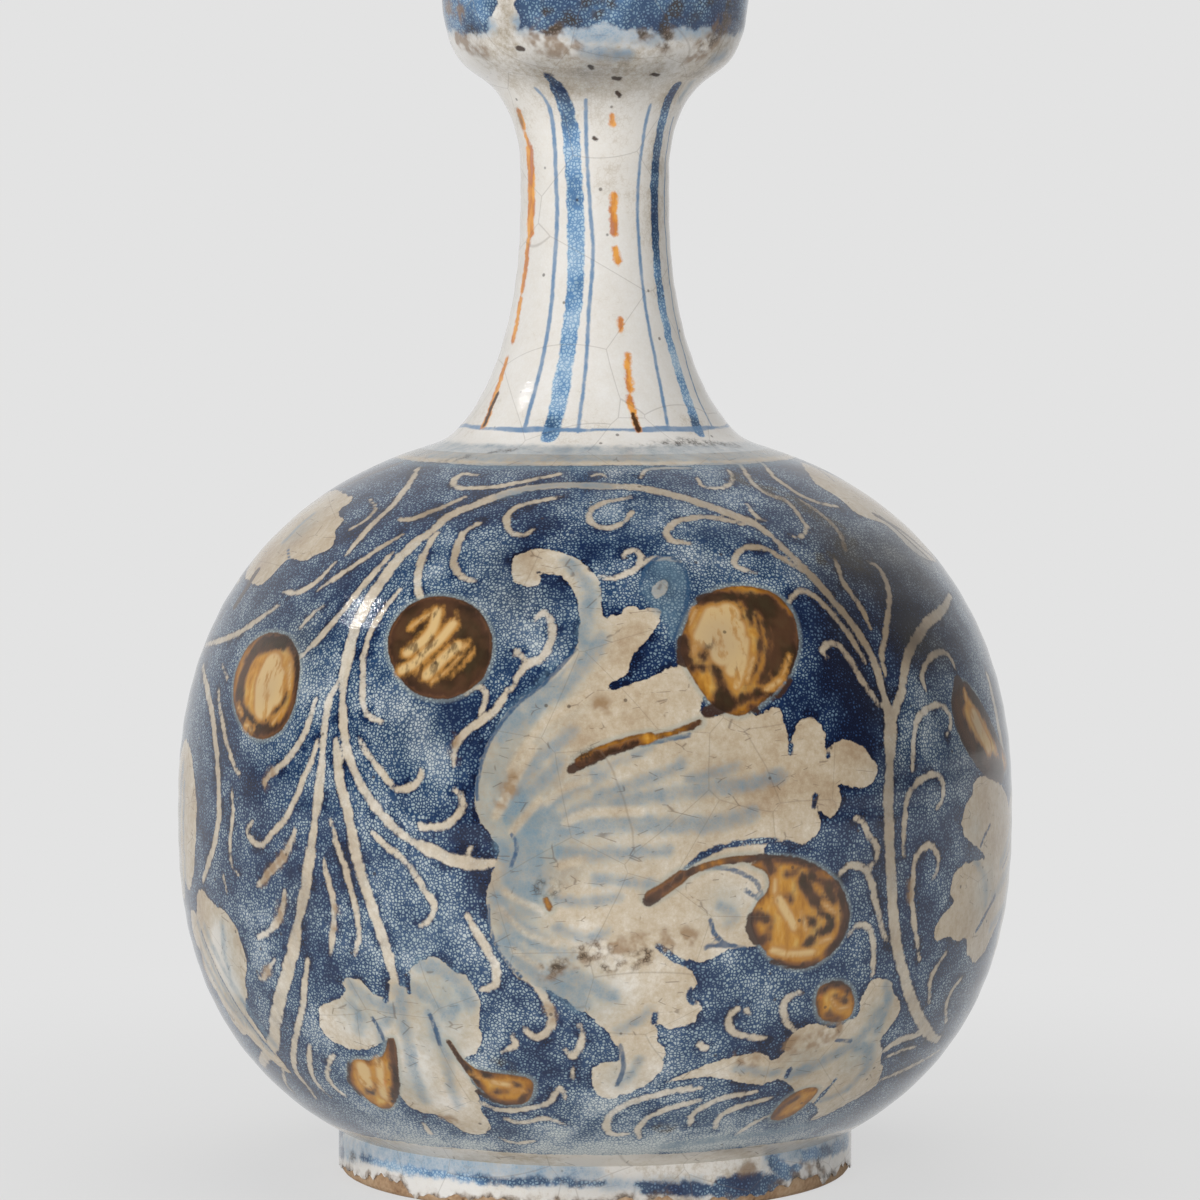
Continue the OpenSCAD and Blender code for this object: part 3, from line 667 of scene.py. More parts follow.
class Outline:
    """Outside of the bottle as one curve, from the foot up and over the lip."""

    COATS = ("lower_body_glaze", "upper_body_glaze", "neck_glaze", "mouth_glaze")
    OUTSIDE = 0.3
    ABOVE = 0.5
    ASIDE = 1e-5
    LIP_ROUND = 0.5 * MM
    SLACK = 2e-5
    STEPS = 24
    SLOPE_STEP = 0.4 * MM
    SIGHT_NEAR = 0.14
    SIGHT_FAR = 0.05
    SIGHT_STEPS = 800

    def __init__(self) -> None:
        """Read the curve from the frame's coats."""
        side, top, self.span_z = [], [], {}
        tree = self._tree()
        for node in self.COATS:
            points = half_plane(node)
            seen = np.array([self._met(tree, place, down=False) for place in points])
            side.append(points[seen])
            self.span_z[node] = (points[seen][0, 1], points[seen][-1, 1])
            if node == self.COATS[-1]:
                crest = points[seen][-1]
                over = np.array([self._met(tree, place, down=True) for place in points])
                over &= (points[:, 0] < crest[0]) & (points[:, 1] > crest[1] - self.LIP_ROUND)
                top = points[over][np.argsort(-points[over][:, 0])]
        joined = np.unique(np.vstack(side), axis=0)
        joined = joined[np.argsort(joined[:, 1])]
        foot = np.linspace((joined[0, 0], 0.0), joined[0], self.STEPS, endpoint=False)
        curve = np.vstack([foot, smooth_path(np.vstack([joined, top]), self.STEPS)])
        self.r, self.z = curve.T
        self.s = run_length(curve)
        self.crest = int(np.argmax(self.z)) + 1

    def _tree(self) -> BVHTree:
        """Gather the coats for tests of what lies outside.

        Returns:
            The coats' faces in one tree.
        """
        vertices, faces = [], []
        for node in self.COATS:
            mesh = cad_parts[node].data
            first = len(vertices)
            vertices += [v.co.copy() for v in mesh.vertices]
            faces += [[first + i for i in p.vertices] for p in mesh.polygons]
        return BVHTree.FromPolygons(vertices, faces)

    def _met(self, tree: BVHTree, place: np.ndarray, down: bool) -> bool:
        """Tell whether a profile point is the first thing met from the side, or looking down.

        Args:
            tree: The coats.
            place: Radius and height of the point.
            down: Whether to look down.

        Returns:
            Whether nothing lies before it.
        """
        r, z = place
        for nudge in (-HAIR, HAIR):
            start = (r + nudge, self.ASIDE, self.ABOVE) if down else (self.OUTSIDE, self.ASIDE, z + nudge)
            hit = tree.ray_cast(Vector(start), Vector((0, 0, -1) if down else (-1, 0, 0)))[0]
            if hit is not None and abs(hit.z - z if down else hit.x - r) < self.SLACK:
                return True
        return False

    def radius(self, z: np.ndarray) -> np.ndarray:
        """Radius at a height, below the lip's crest."""
        return np.interp(z, self.z[: self.crest], self.r[: self.crest])

    def along(self, z: np.ndarray | float) -> np.ndarray:
        """Distance along the curve at a height, below the lip's crest."""
        return np.interp(z, self.z[: self.crest], self.s[: self.crest])

    def points(self, s: np.ndarray) -> np.ndarray:
        """Radius and height at distances along the curve, one row each."""
        return np.stack([np.interp(s, self.s, self.r), np.interp(s, self.s, self.z)], axis=1)

    def normals(self, s: np.ndarray) -> np.ndarray:
        """Find the outward direction along the curve.

        Args:
            s: Distances along the curve.

        Returns:
            One direction for each, as radius and height.
        """
        step = self.SLOPE_STEP
        run = self.points(np.minimum(s + step, self.s[-1])) - self.points(np.maximum(s - step, 0.0))
        run /= np.linalg.norm(run, axis=1, keepdims=True)
        return np.stack([run[:, 1], -run[:, 0]], axis=1)

    def locate(self, view: PhotoView, pixels: np.ndarray) -> np.ndarray:
        """Find the places on the bottle that pixels of the photograph show.

        Args:
            view: The photograph's camera.
            pixels: Places in the frame, one row each.

        Returns:
            Angle round the axis and distance along the curve, one row each. A pixel beside the bottle gives
            the nearest place on its edge.
        """
        eye, directions = view.rays(pixels)
        reach = np.linspace(view.distance - self.SIGHT_NEAR, view.distance + self.SIGHT_FAR, self.SIGHT_STEPS)
        trail = eye + reach[None, :, None] * directions[:, None, :]
        depth = self.radius(trail[..., 2]) - np.hypot(trail[..., 0], trail[..., 1])
        inside = depth > 0
        first = np.where(inside.any(axis=1), inside.argmax(axis=1), depth.argmax(axis=1))
        place = trail[np.arange(len(pixels)), first]
        turn = np.arctan2(place[:, 0], -place[:, 1])
        return np.stack([turn, self.along(place[:, 2])], axis=1)


@dataclass(frozen=True)
class Mark:
    """One stroke or field laid on the bottle, as angles round the axis and distances along the outline."""

    layer: Layer
    path: np.ndarray
    half_widths: np.ndarray
    closed: bool = False

    def moved(self, turn: float, mirror: bool) -> Mark:
        """Copy the mark round the axis.

        Args:
            turn: Turn of the copy, or the angle of the mirror.
            mirror: Whether the copy is mirrored.

        Returns:
            The copy.
        """
        path = self.path.copy()
        path[:, 0] = 2 * turn - path[:, 0] if mirror else path[:, 0] + turn
        return Mark(self.layer, path, self.half_widths, self.closed)

    @property
    def middle(self) -> float:
        """Angle round the axis at the middle of the mark."""
        return float(0.5 * (self.path[:, 0].min() + self.path[:, 0].max()))


Copied = tuple[list[Mark], dict[Shade, list[tuple[float, ...]]]]


@dataclass(frozen=True)
class Band:
    """Ring of colour round the bottle between two heights, with edges that wander."""

    layer: Layer
    low: float
    high: float
    wander: float = 0.3 * MM
    waves: int = 5

    START = 1.3
    SECOND_WAVES = 2.7
    SECOND_SHARE = 0.6

    def sway(self, turns: np.ndarray) -> np.ndarray:
        """Find how far an edge of the band strays upward.

        Args:
            turns: Angles round the axis.

        Returns:
            The shift at each angle, in metres.
        """
        second = np.sin(self.SECOND_WAVES * self.waves * turns)
        return self.wander * (np.sin(self.waves * turns + self.START) + self.SECOND_SHARE * second)


@dataclass
class Grid:
    """Places of a shell's vertices: an angle for each column, a distance and a radius for each row."""

    turns: np.ndarray
    along: np.ndarray
    radii: np.ndarray


class Painting:
    """The ornament of one part of the bottle, laid on the outline."""

    PIXEL = 0.262 * MM
    REACH = 3.0 * MM
    BLEED = 0.12 * MM
    STEM_BLEED = 0.23 * MM
    TAPER = 6.0 * MM
    TIP = 0.6
    STEPS = 4
    NO_LENGTH = 1e-12

    def __init__(self, outline: Outline, view: PhotoView) -> None:
        """Start with nothing painted.

        Args:
            outline: The bottle's outside.
            view: The photograph's camera.
        """
        self.outline = outline
        self.view = view
        self.marks: list[Mark] = []
        self.bands: list[Band] = []
        self.patches: dict[Shade, list[tuple[float, ...]]] = {kind: [] for kind in Shade}

    def _spots(self, path: Path) -> np.ndarray:
        """Lay a path of pixels on the bottle."""
        return self.outline.locate(self.view, np.array(path, float).reshape(-1, 2))

    def strokes(self, groups: Drawn) -> None:
        """Add brush strokes.

        Args:
            groups: For each layer, strokes as a width and a path in pixels.
        """
        for layer, paths in groups.items():
            for width, *path in paths:
                spots = smooth_path(self._spots(tuple(path)), self.STEPS)
                flat = smooth_path(np.array(path, float).reshape(-1, 2), self.STEPS)
                run = run_length(flat) * self.PIXEL
                ends = np.minimum(run, run[-1] - run) / self.TAPER
                half = np.full(len(spots), 0.5 * width * self.PIXEL + self.BLEED)
                if layer == Layer.STEM:
                    half += self.STEM_BLEED - self.BLEED
                    half *= self.TIP + (1 - self.TIP) * np.minimum(ends, 1.0)
                self.marks.append(Mark(layer, spots, half))

    def fields(self, groups: Drawn) -> None:
        """Add closed fields.

        Args:
            groups: For each layer, outlines in pixels.
        """
        for layer, paths in groups.items():
            for path in paths:
                spots = self._spots(path)
                ring = smooth_path(np.vstack([spots[-1:], spots, spots[:2]]), self.STEPS)
                ring = ring[self.STEPS:-self.STEPS]
                self.marks.append(Mark(layer, ring, np.zeros(len(ring) + 1), closed=True))

    def shades(self, groups: Softened) -> None:
        """Add soft patches.

        Args:
            groups: For each kind, place and reach in pixels and strength of each patch.
        """
        for kind, patches in groups.items():
            for x, y, reach, strength in patches:
                turn, along = self._spots((x, y))[0]
                self.patches[kind].append((turn, along, reach * self.PIXEL, strength))

    def whole(self, layer: Layer) -> None:
        """Cover everything with a layer."""
        self.bands.append(Band(layer, -1.0, 1.0, 0.0))

    def rings(self, groups: Drawn) -> None:
        """Add rings round the bottle.

        Args:
            groups: For each layer, the upper and lower pixel row of each ring at the bottle's axis.
        """
        for layer, rows in groups.items():
            for high_row, low_row in rows:
                spots = self._spots((AXIS_PX, high_row, AXIS_PX, low_row))
                high, low = np.interp(spots[:, 1], self.outline.s, self.outline.z)
                self.bands.append(Band(layer, low, high))

    def copied(self, low: float, high: float, turn: float, mirror: bool) -> Copied:
        """Copy the marks and patches of one sector to another place round the axis.

        Args:
            low: First angle of the sector.
            high: Last angle of the sector.
            turn: Turn of the copy, or the angle of the mirror.
            mirror: Whether the copy is mirrored.

        Returns:
            The copied marks, and the copied patches of each kind.
        """
        marks = [mark.moved(turn, mirror) for mark in self.marks if low < mark.middle < high]
        patches = {
            kind: [(2 * turn - at if mirror else at + turn, *rest) for at, *rest in those if low < at < high]
            for kind, those in self.patches.items()
        }
        return marks, patches

    def add(self, copies: Iterable[Copied]) -> None:
        """Add copied marks and patches.

        Args:
            copies: Marks and patches of each copied sector.
        """
        for marks, patches in copies:
            self.marks += marks
            for kind, those in patches.items():
                self.patches[kind] += those

    def paint(self, grid: Grid) -> dict[str, np.ndarray]:
        """Work out every layer on a grid.

        Args:
            grid: Places of the vertices.

        Returns:
            For each layer and each kind of patch, one value for each row and column.
        """
        shape = (len(grid.along), len(grid.turns))
        values = {layer: np.full(shape, -self.REACH) for layer in Layer}
        for mark in self.marks:
            if mark.closed:
                self._lay_field(mark, grid, values[mark.layer])
            else:
                self._lay_path(mark.path, mark.half_widths, grid, values[mark.layer])
        for band in self.bands:
            self._lay_band(band, grid, values[band.layer])
        painted = {layer.value: field / MM for layer, field in values.items()}
        painted |= {kind.value: self._sum(patches, grid) for kind, patches in self.patches.items()}
        return painted

    @staticmethod
    def _window(grid: Grid, spots: np.ndarray, reach: float) -> Iterator[tuple[slice, np.ndarray, float]]:
        """Find the rows and columns that lie near a few places.

        Args:
            grid: Places of the vertices.
            spots: The places.
            reach: How near counts.

        Yields:
            Rows, columns and the whole turns to add to the columns' angles.
        """
        rows = slice(*np.searchsorted(grid.along, [spots[:, 1].min() - reach, spots[:, 1].max() + reach]))
        if rows.start >= rows.stop:
            return
        margin = reach / grid.radii[rows].min()
        first, last = spots[:, 0].min() - margin, spots[:, 0].max() + margin
        for lap in (-FULL_TURN, 0.0, FULL_TURN):
            turns = grid.turns + lap
            near = np.nonzero((turns > first) & (turns < last))[0]
            if len(near):
                yield rows, near, lap

    def _lay_path(self, path: np.ndarray, half_widths: np.ndarray, grid: Grid, field: np.ndarray) -> None:
        """Raise a layer along an open path to half its width less the distance from it.

        Args:
            path: Places along the path.
            half_widths: Half the width at each place.
            grid: Places of the vertices.
            field: The layer's values, which are raised.
        """
        for start, end, first, last in zip(path, path[1:], half_widths, half_widths[1:]):
            reach = max(first, last) + self.REACH
            for rows, near, lap in self._window(grid, np.stack([start, end]), reach):
                radius = grid.radii[rows][:, None]
                across = radius * (grid.turns[near][None, :] + lap - start[0])
                up = grid.along[rows][:, None] - start[1] + 0 * across
                run_across = radius * (end[0] - start[0])
                run_up = end[1] - start[1]
                share = (across * run_across + up * run_up) / (run_across**2 + run_up**2 + self.NO_LENGTH)
                share = np.clip(share, 0.0, 1.0)
                distance = np.hypot(across - share * run_across, up - share * run_up)
                cells = np.ix_(range(rows.start, rows.stop), near)
                field[cells] = np.maximum(field[cells], first + share * (last - first) - distance)

    def _lay_field(self, mark: Mark, grid: Grid, field: np.ndarray) -> None:
        """Raise a layer inside a closed outline to the distance from its edge.

        Args:
            mark: The closed mark.
            grid: Places of the vertices.
            field: The layer's values, which are raised.
        """
        edge = np.full(field.shape, -self.REACH)
        self._lay_path(np.vstack([mark.path, mark.path[:1]]), mark.half_widths, grid, edge)
        for rows, near, lap in self._window(grid, mark.path, self.REACH):
            turns = grid.turns[near][None, :] + lap
            along = grid.along[rows][:, None]
            inside = np.zeros((rows.stop - rows.start, len(near)), bool)
            for start, end in zip(mark.path, np.roll(mark.path, -1, axis=0)):
                if start[1] == end[1]:
                    continue
                crosses = (along < start[1]) != (along < end[1])
                where = start[0] + (along - start[1]) / (end[1] - start[1]) * (end[0] - start[0])
                inside ^= crosses & (turns < where)
            cells = np.ix_(range(rows.start, rows.stop), near)
            field[cells] = np.maximum(field[cells], np.where(inside, -edge[cells], edge[cells]))

    def _lay_band(self, band: Band, grid: Grid, field: np.ndarray) -> None:
        """Raise a layer between a band's two heights.

        Args:
            band: The band.
            grid: Places of the vertices.
            field: The layer's values, which are raised.
        """
        sway = band.sway(grid.turns)
        low = self._reach_along(band.low) + sway[None, :]
        high = self._reach_along(band.high) + np.roll(sway, len(sway) // 3)[None, :]
        along = grid.along[:, None]
        depth = np.minimum(along - low, high - along)
        np.maximum(field, np.clip(depth, -self.REACH, self.REACH), out=field)

    def _reach_along(self, height: float) -> float:
        """Distance along the outline at a height, going straight on past both ends."""
        inside = min(max(height, 0.0), float(self.outline.z.max()))
        return float(self.outline.along(inside)) + height - inside

    @staticmethod
    def _sum(patches: list[tuple[float, ...]], grid: Grid) -> np.ndarray:
        """Add up soft patches on a grid.

        Args:
            patches: Angle, distance along the outline, reach and strength of each patch.
            grid: Places of the vertices.

        Returns:
            One value for each row and column.
        """
        total = np.zeros((len(grid.along), len(grid.turns)))
        for turn, along, reach, strength in patches:
            gap = (grid.turns - turn + math.pi) % FULL_TURN - math.pi
            across = grid.radii[:, None] * gap[None, :]
            up = grid.along[:, None] - along
            total += strength * np.exp(-(across**2 + up**2) / (reach * reach))
        return total


class Value:
    """Output of a shader node, on which maths is written as Python."""

    def __init__(self, sheet: NodeSheet, socket: bpy.types.NodeSocket) -> None:
        """Keep a socket and the sheet that it belongs to.

        Args:
            sheet: The material's nodes.
            socket: The output socket.
        """
        self.sheet = sheet
        self.socket = socket

    def _maths(self, operation: str, *terms: Any) -> Value:
        """Add a Math node on values and numbers."""
        return self.sheet.node("ShaderNodeMath", {"operation": operation}, dict(enumerate(terms)))

    def __add__(self, other: Any) -> Value:
        """Sum."""
        return self._maths("ADD", self, other)

    __radd__ = __add__

    def __sub__(self, other: Any) -> Value:
        """Difference."""
        return self._maths("SUBTRACT", self, other)

    def __rsub__(self, other: Any) -> Value:
        """Difference from a number."""
        return self._maths("SUBTRACT", other, self)

    def __mul__(self, other: Any) -> Value:
        """Product."""
        return self._maths("MULTIPLY", self, other)

    __rmul__ = __mul__

    def at_most(self, other: Any) -> Value:
        """Lower of two values."""
        return self._maths("MINIMUM", self, other)

    def at_least(self, other: Any) -> Value:
        """Higher of two values."""
        return self._maths("MAXIMUM", self, other)

    def rise(self, low: float, high: float) -> Value:
        """Smooth step from 0 at one value to 1 at another."""
        settings = {"interpolation_type": "SMOOTHSTEP"}
        return self.sheet.node("ShaderNodeMapRange", settings, {0: self, 1: low, 2: high, 3: 0.0, 4: 1.0})


Colour = tuple[float, float, float, float]


def srgb(red: int, green: int, blue: int) -> Colour:
    """Turn a colour as it looks on a screen into the linear one that shaders take.

    Args:
        red: Red, 0 to 255.
        green: Green, 0 to 255.
        blue: Blue, 0 to 255.

    Returns:
        The linear colour, opaque.
    """
    def linear(c: int) -> float:
        """One channel."""
        share = c / 255
        return share / 12.92 if share <= 0.04045 else ((share + 0.055) / 1.055) ** 2.4

    return linear(red), linear(green), linear(blue), 1.0


Stops = tuple[tuple[float, Colour], ...]


def stops(*rows: tuple[float, int, int, int]) -> Stops:
    """Stops of a colour ramp, from places and colours as they look on a screen."""
    return tuple((place, srgb(*colour)) for place, *colour in rows)


class NodeSheet:
    """Nodes of one material or of the surround."""

    def __init__(self, owner: bpy.types.Material | bpy.types.World) -> None:
        """Start with no nodes.

        Args:
            owner: The material or surround whose nodes these are.
        """
        owner.use_nodes = True
        self.owner = owner
        self.tree = owner.node_tree
        self.tree.nodes.clear()

    def node(self, kind: str, settings: dict[str, Any] | None = None, inputs: dict[Any, Any] | None = None,
             out: int | str = 0) -> Value:
        """Add a node.

        Args:
            kind: The node's type.
            settings: Its settings; "stops" gives a colour ramp's places and colours.
            inputs: Values or links of its sockets, by name or number.
            out: The output to go on from.

        Returns:
            The output as a value.
        """
        made = self.tree.nodes.new(kind)
        for key, value in (settings or {}).items():
            if key == "stops":
                self._fill_ramp(made.color_ramp, value)
            else:
                setattr(made, key, value)
        for key, value in (inputs or {}).items():
            if isinstance(value, Value):
                self.tree.links.new(value.socket, made.inputs[key])
            else:
                made.inputs[key].default_value = value
        return Value(self, made.outputs[out] if len(made.outputs) else None)

    @staticmethod
    def _fill_ramp(ramp: bpy.types.ColorRamp, stops: Stops) -> None:
        """Give a colour ramp its stops.

        Args:
            ramp: The colour ramp.
            stops: Place and colour of each stop.
        """
        while len(ramp.elements) < len(stops):
            ramp.elements.new(1.0)
        for element, (place, colour) in zip(ramp.elements, stops):
            element.position = place
            element.color = colour

    def place(self) -> Value:
        """Place on the piece, in metres."""
        return self.node("ShaderNodeTexCoord", out="Object")

    def layer(self, kind: Layer | Shade) -> Value:
        """Value that the mesh carries for a layer or a kind of patch."""
        return self.node("ShaderNodeAttribute", {"attribute_name": kind.value}, out="Fac")

    def cloud(self, place: Value, scale: float, detail: float = 3.0, rough: float = 0.55) -> Value:
        """Noise about a half, at a number of waves to the metre."""
        inputs = {"Vector": place, "Scale": scale, "Detail": detail, "Roughness": rough}
        return self.node("ShaderNodeTexNoise", {}, inputs, out="Fac")

    def cells(self, place: Value, scale: float, feature: str = "F1", randomness: float = 1.0) -> Value:
        """Distance from the middles of random cells, or from their edges."""
        inputs = {"Vector": place, "Scale": scale, "Randomness": randomness}
        return self.node("ShaderNodeTexVoronoi", {"feature": feature}, inputs, out="Distance")

    def mix(self, under: Any, over: Any, share: Any) -> Value:
        """Lay one colour over another."""
        return self.node("ShaderNodeMix", {"data_type": "RGBA"}, {0: share, 6: under, 7: over}, out=2)

    def ramp(self, value: Value, stops: Stops) -> Value:
        """Colour that goes with a value."""
        return self.node("ShaderNodeValToRGB", {"stops": stops}, {0: value}, out="Color")

    def stretched(self, place: Value, scale: tuple[float, float, float]) -> Value:
        """Place with each axis scaled."""
        return self.node("ShaderNodeVectorMath", {"operation": "MULTIPLY"}, {0: place, 1: scale})

    def finish(self, colour: Value, roughness: Any, height: Value | None = None, relief: float = 0.0,
               constants: dict[str, Any] | None = None) -> bpy.types.Material:
        """End the sheet in a shader.

        Args:
            colour: Base colour.
            roughness: Roughness, a value or a number.
            height: Height of the fine relief, or nothing.
            relief: Depth of the relief in metres.
            constants: Other sockets of the shader that are the same all over.

        Returns:
            The material.
        """
        inputs = {"Base Color": colour, "Roughness": roughness, **(constants or {})}
        if height is not None:
            bump = {"Height": height, "Distance": relief, "Strength": 1.0}
            inputs["Normal"] = self.node("ShaderNodeBump", {}, bump, out="Normal")
        shader = self.node("ShaderNodeBsdfPrincipled", {}, inputs, out="BSDF")
        self.node("ShaderNodeOutputMaterial", {}, {"Surface": shader})
        return self.owner


@dataclass(frozen=True)
class Edge:
    """Edge of a layer's marks, in millimetres: how soft, how ragged and how scalloped it is."""

    soft: float
    ragged: float
    scallop: float = 0.0


class Brushwork:
    """Nodes of one painted glaze: its noise, the edges of its layers, and the colour laid on in steps."""

    BROAD = 24.0
    MIDDLE = 95.0
    SMALL = 240.0
    FINE = 560.0
    BLOTS = 150.0
    STREAKS = 380.0
    STREAK_STRETCH = (1.0, 1.0, 0.35)
    BEAD_SPREAD = 0.9
    BEAD_WIDTH = 0.2
    SPECKS = 120.0
    CRACKS = 110.0
    CRACK_STRETCH = (0.7, 0.7, 2.0)
    CRAZE = 36.0
    RELIEF = 0.12 * MM
    IOR = 1.5
    EDGES = {
        Layer.LEAF: Edge(0.2, 1.4, 2.2),
        Layer.STEM: Edge(0.4, 1.8, 1.2),
        Layer.LINE: Edge(0.3, 0.8),
        Layer.OCHRE: Edge(0.3, 0.9),
        Layer.UMBER: Edge(0.3, 1.4, 1.0),
        Layer.GLEAM: Edge(0.8, 2.2, 1.6),
        Layer.RUST: Edge(0.5, 2.4),
        Layer.STAIN: Edge(1.4, 3.0, 3.0),
        Layer.SMOKE: Edge(1.4, 3.0, 3.0),
        Layer.BARE: Edge(0.5, 2.0, 4.0),
        Layer.WISP: Edge(0.9, 1.6, 1.2),
    }
    NET = stops((0.0, 10, 20, 46), (0.3, 20, 41, 76), (0.55, 40, 68, 102), (0.8, 80, 104, 132),
                (1.0, 124, 140, 154))
    BEAD = stops((0.0, 40, 66, 104), (0.3, 106, 130, 147), (0.55, 154, 169, 174), (0.8, 182, 191, 193),
                 (1.0, 202, 208, 206))
    CLEAR_NET = stops((0.0, 22, 42, 80), (0.4, 52, 80, 114), (0.7, 96, 138, 182), (1.0, 150, 182, 210))
    CLEAR_BEAD = stops((0.0, 74, 104, 144), (0.4, 122, 150, 169), (0.7, 168, 196, 216), (1.0, 196, 214, 226))
    GOLDS = stops((0.0, 88, 56, 22), (0.4, 152, 98, 30), (0.7, 190, 134, 48), (1.0, 208, 170, 92))
    RUSTS = (srgb(190, 100, 32), srgb(238, 166, 74))
    UMBERS = (srgb(106, 71, 52), srgb(36, 27, 24))
    GLEAMS = (srgb(178, 126, 60), srgb(207, 175, 122))
    FRUIT_BLEED = srgb(150, 158, 152)
    FRUIT_RIM = srgb(88, 62, 40)
    STEM_CREAM = srgb(212, 206, 194)
    STEM_BROWN = srgb(132, 110, 80)
    STEM_FILM_AND_SHADE = srgb(96, 78, 56)
    HAZE_BLUE = srgb(118, 138, 144)
    STAIN_BROWN = srgb(138, 106, 70)
    SMOKE_BROWN = srgb(56, 46, 34)
    FILM_AND_SHADE_GREY = srgb(52, 48, 40)
    DIMMING = {"Saturation": 0.25, "Value": 0.7}
    SPECK_BROWN = srgb(58, 44, 36)
    CRACK_BROWN = srgb(84, 64, 50)
    CRAZE_BROWN = srgb(110, 94, 78)

    def __init__(self, glaze: PaintedGlaze) -> None:
        """Make the noise, find where leaves and stems lie, and start with the ground.

        Args:
            glaze: What the glaze is like.
        """
        self.glaze = glaze
        self.sheet = sheet = NodeSheet(bpy.data.materials.new(glaze.name))
        self.place = place = sheet.place()
        self.broad = sheet.cloud(place, self.BROAD)
        self.middle = sheet.cloud(place, self.MIDDLE)
        self.small = sheet.cloud(place, self.SMALL, 2.0)
        self.fine = sheet.cloud(place, self.FINE, 3.0, 0.65)
        self.streaks = sheet.cloud(sheet.stretched(place, self.STREAK_STRETCH), self.STREAKS, 3.0)
        self.net = sheet.cells(place, glaze.beads, "DISTANCE_TO_EDGE", self.BEAD_SPREAD)
        self.grain = self.net.at_most(self.BEAD_WIDTH)
        # pale carries the tone patches, with the painted light and shade among them.
        self.pale = sheet.layer(Shade.TONE)
        self.leaf = self.cover(Layer.LEAF)
        self.stem = self.cover(Layer.STEM) * (0.62 + 0.6 * self.small).at_most(0.96)
        self.ground = self.colour = self._ground()

    def cover(self, layer: Layer, edge: Edge | None = None) -> Value:
        """Find where a layer's colour lies.

        Args:
            layer: The layer.
            edge: Edge of its marks, or nothing for the usual one.

        Returns:
            The share of the colour, from 0 to 1.
        """
        edge = edge or self.EDGES[layer]
        field = self.sheet.layer(layer) + (self.fine - 0.5) * edge.ragged
        if edge.scallop:
            field = field + (self.small - 0.5) * edge.scallop
        return field.rise(-edge.soft, edge.soft)

    def lay(self, over: Any, share: Any) -> None:
        """Lay a colour over what is there."""
        self.colour = self.sheet.mix(self.colour, over, share)

    def _ground(self) -> Value:
        """Make the beaded blue: pale beads in a darker net, dark blots, and a dark line beside the leaves.

        Returns:
            The colour.
        """
        sheet, middle = self.sheet, self.middle - 0.5
        edge = sheet.layer(Layer.LEAF).at_least(sheet.layer(Layer.STEM))
        blots = sheet.cloud(self.place, self.BLOTS, 2.0).rise(0.53, 0.6) * edge.rise(-3.0, -1.0)
        blots = (0.25 * blots + 0.18 * edge.rise(-1.0, -0.2)) * (1.0 - edge.rise(0.3, 1.2))
        # The tone patches lighten or darken the blue too, painted light and shade among them.
        tone = self.glaze.depth + self.pale + 1.1 * (self.broad - 0.5) + 0.9 * middle - blots
        dark = sheet.ramp(tone, self.CLEAR_NET if self.glaze.clear else self.NET)
        bead = sheet.ramp(tone + 0.5 * middle, self.CLEAR_BEAD if self.glaze.clear else self.BEAD)
        wide = 0.16 - 0.18 * tone
        return sheet.mix(dark, bead, (self.net - wide).rise(0.0, 0.24))

    def lay_reserve(self) -> None:
        """Leave leaves and stems in cream or white, and brown the stems in places."""
        mottle = 1.1 * (self.broad - 0.5) + 0.7 * (self.middle - 0.5) + 0.8 * (self.fine - 0.5)
        # The reserve takes the tone patches too, and with them the painted light and shade.
        tone = 0.5 + self.glaze.mottle * mottle + 0.6 * self.pale
        reserve = self.sheet.ramp(tone + 0.35 * (self.grain - 0.15), self.glaze.reserve)
        aged = self.sheet.layer(Shade.AGED).at_most(1.0) * (0.5 + 0.6 * self.small)
        stems = self.sheet.mix(self.sheet.mix(reserve, self.STEM_CREAM, 0.2), self.STEM_BROWN, aged)
        self.lay(stems, self.stem)
        self.lay(reserve, self.leaf)

    def lay_blue(self) -> None:
        """Lay on the blue of the leaves: haze, dry washes, cuts down to the ground, and lines."""
        glaze = self.glaze
        dry = 0.5 + 0.7 * (self.small - 0.5) + 0.5 * (self.fine - 0.5) + 0.6 * (self.grain - 0.1)
        wisp = 1.0 - 0.75 * self.cover(Layer.WISP)
        haze = self.sheet.layer(Shade.HAZE).at_most(1.0) * self.leaf
        self.lay(self.HAZE_BLUE, haze * (dry + 0.2) * wisp)
        wash = self.cover(Layer.WASH, Edge(1.0 + 1.4 * glaze.feather, 2.0, 1.6))
        self.lay(glaze.tint, wash * dry * wisp * glaze.wash)
        slit = self.cover(Layer.SLIT, Edge(glaze.feather, 1.2 * glaze.brush, 1.4 * glaze.brush))
        self.lay(self.ground, slit * (1.0 - self.cover(Layer.BARE)))
        self.lay(glaze.line, self.cover(Layer.LINE) * (0.5 + 0.7 * self.small).at_most(0.92))

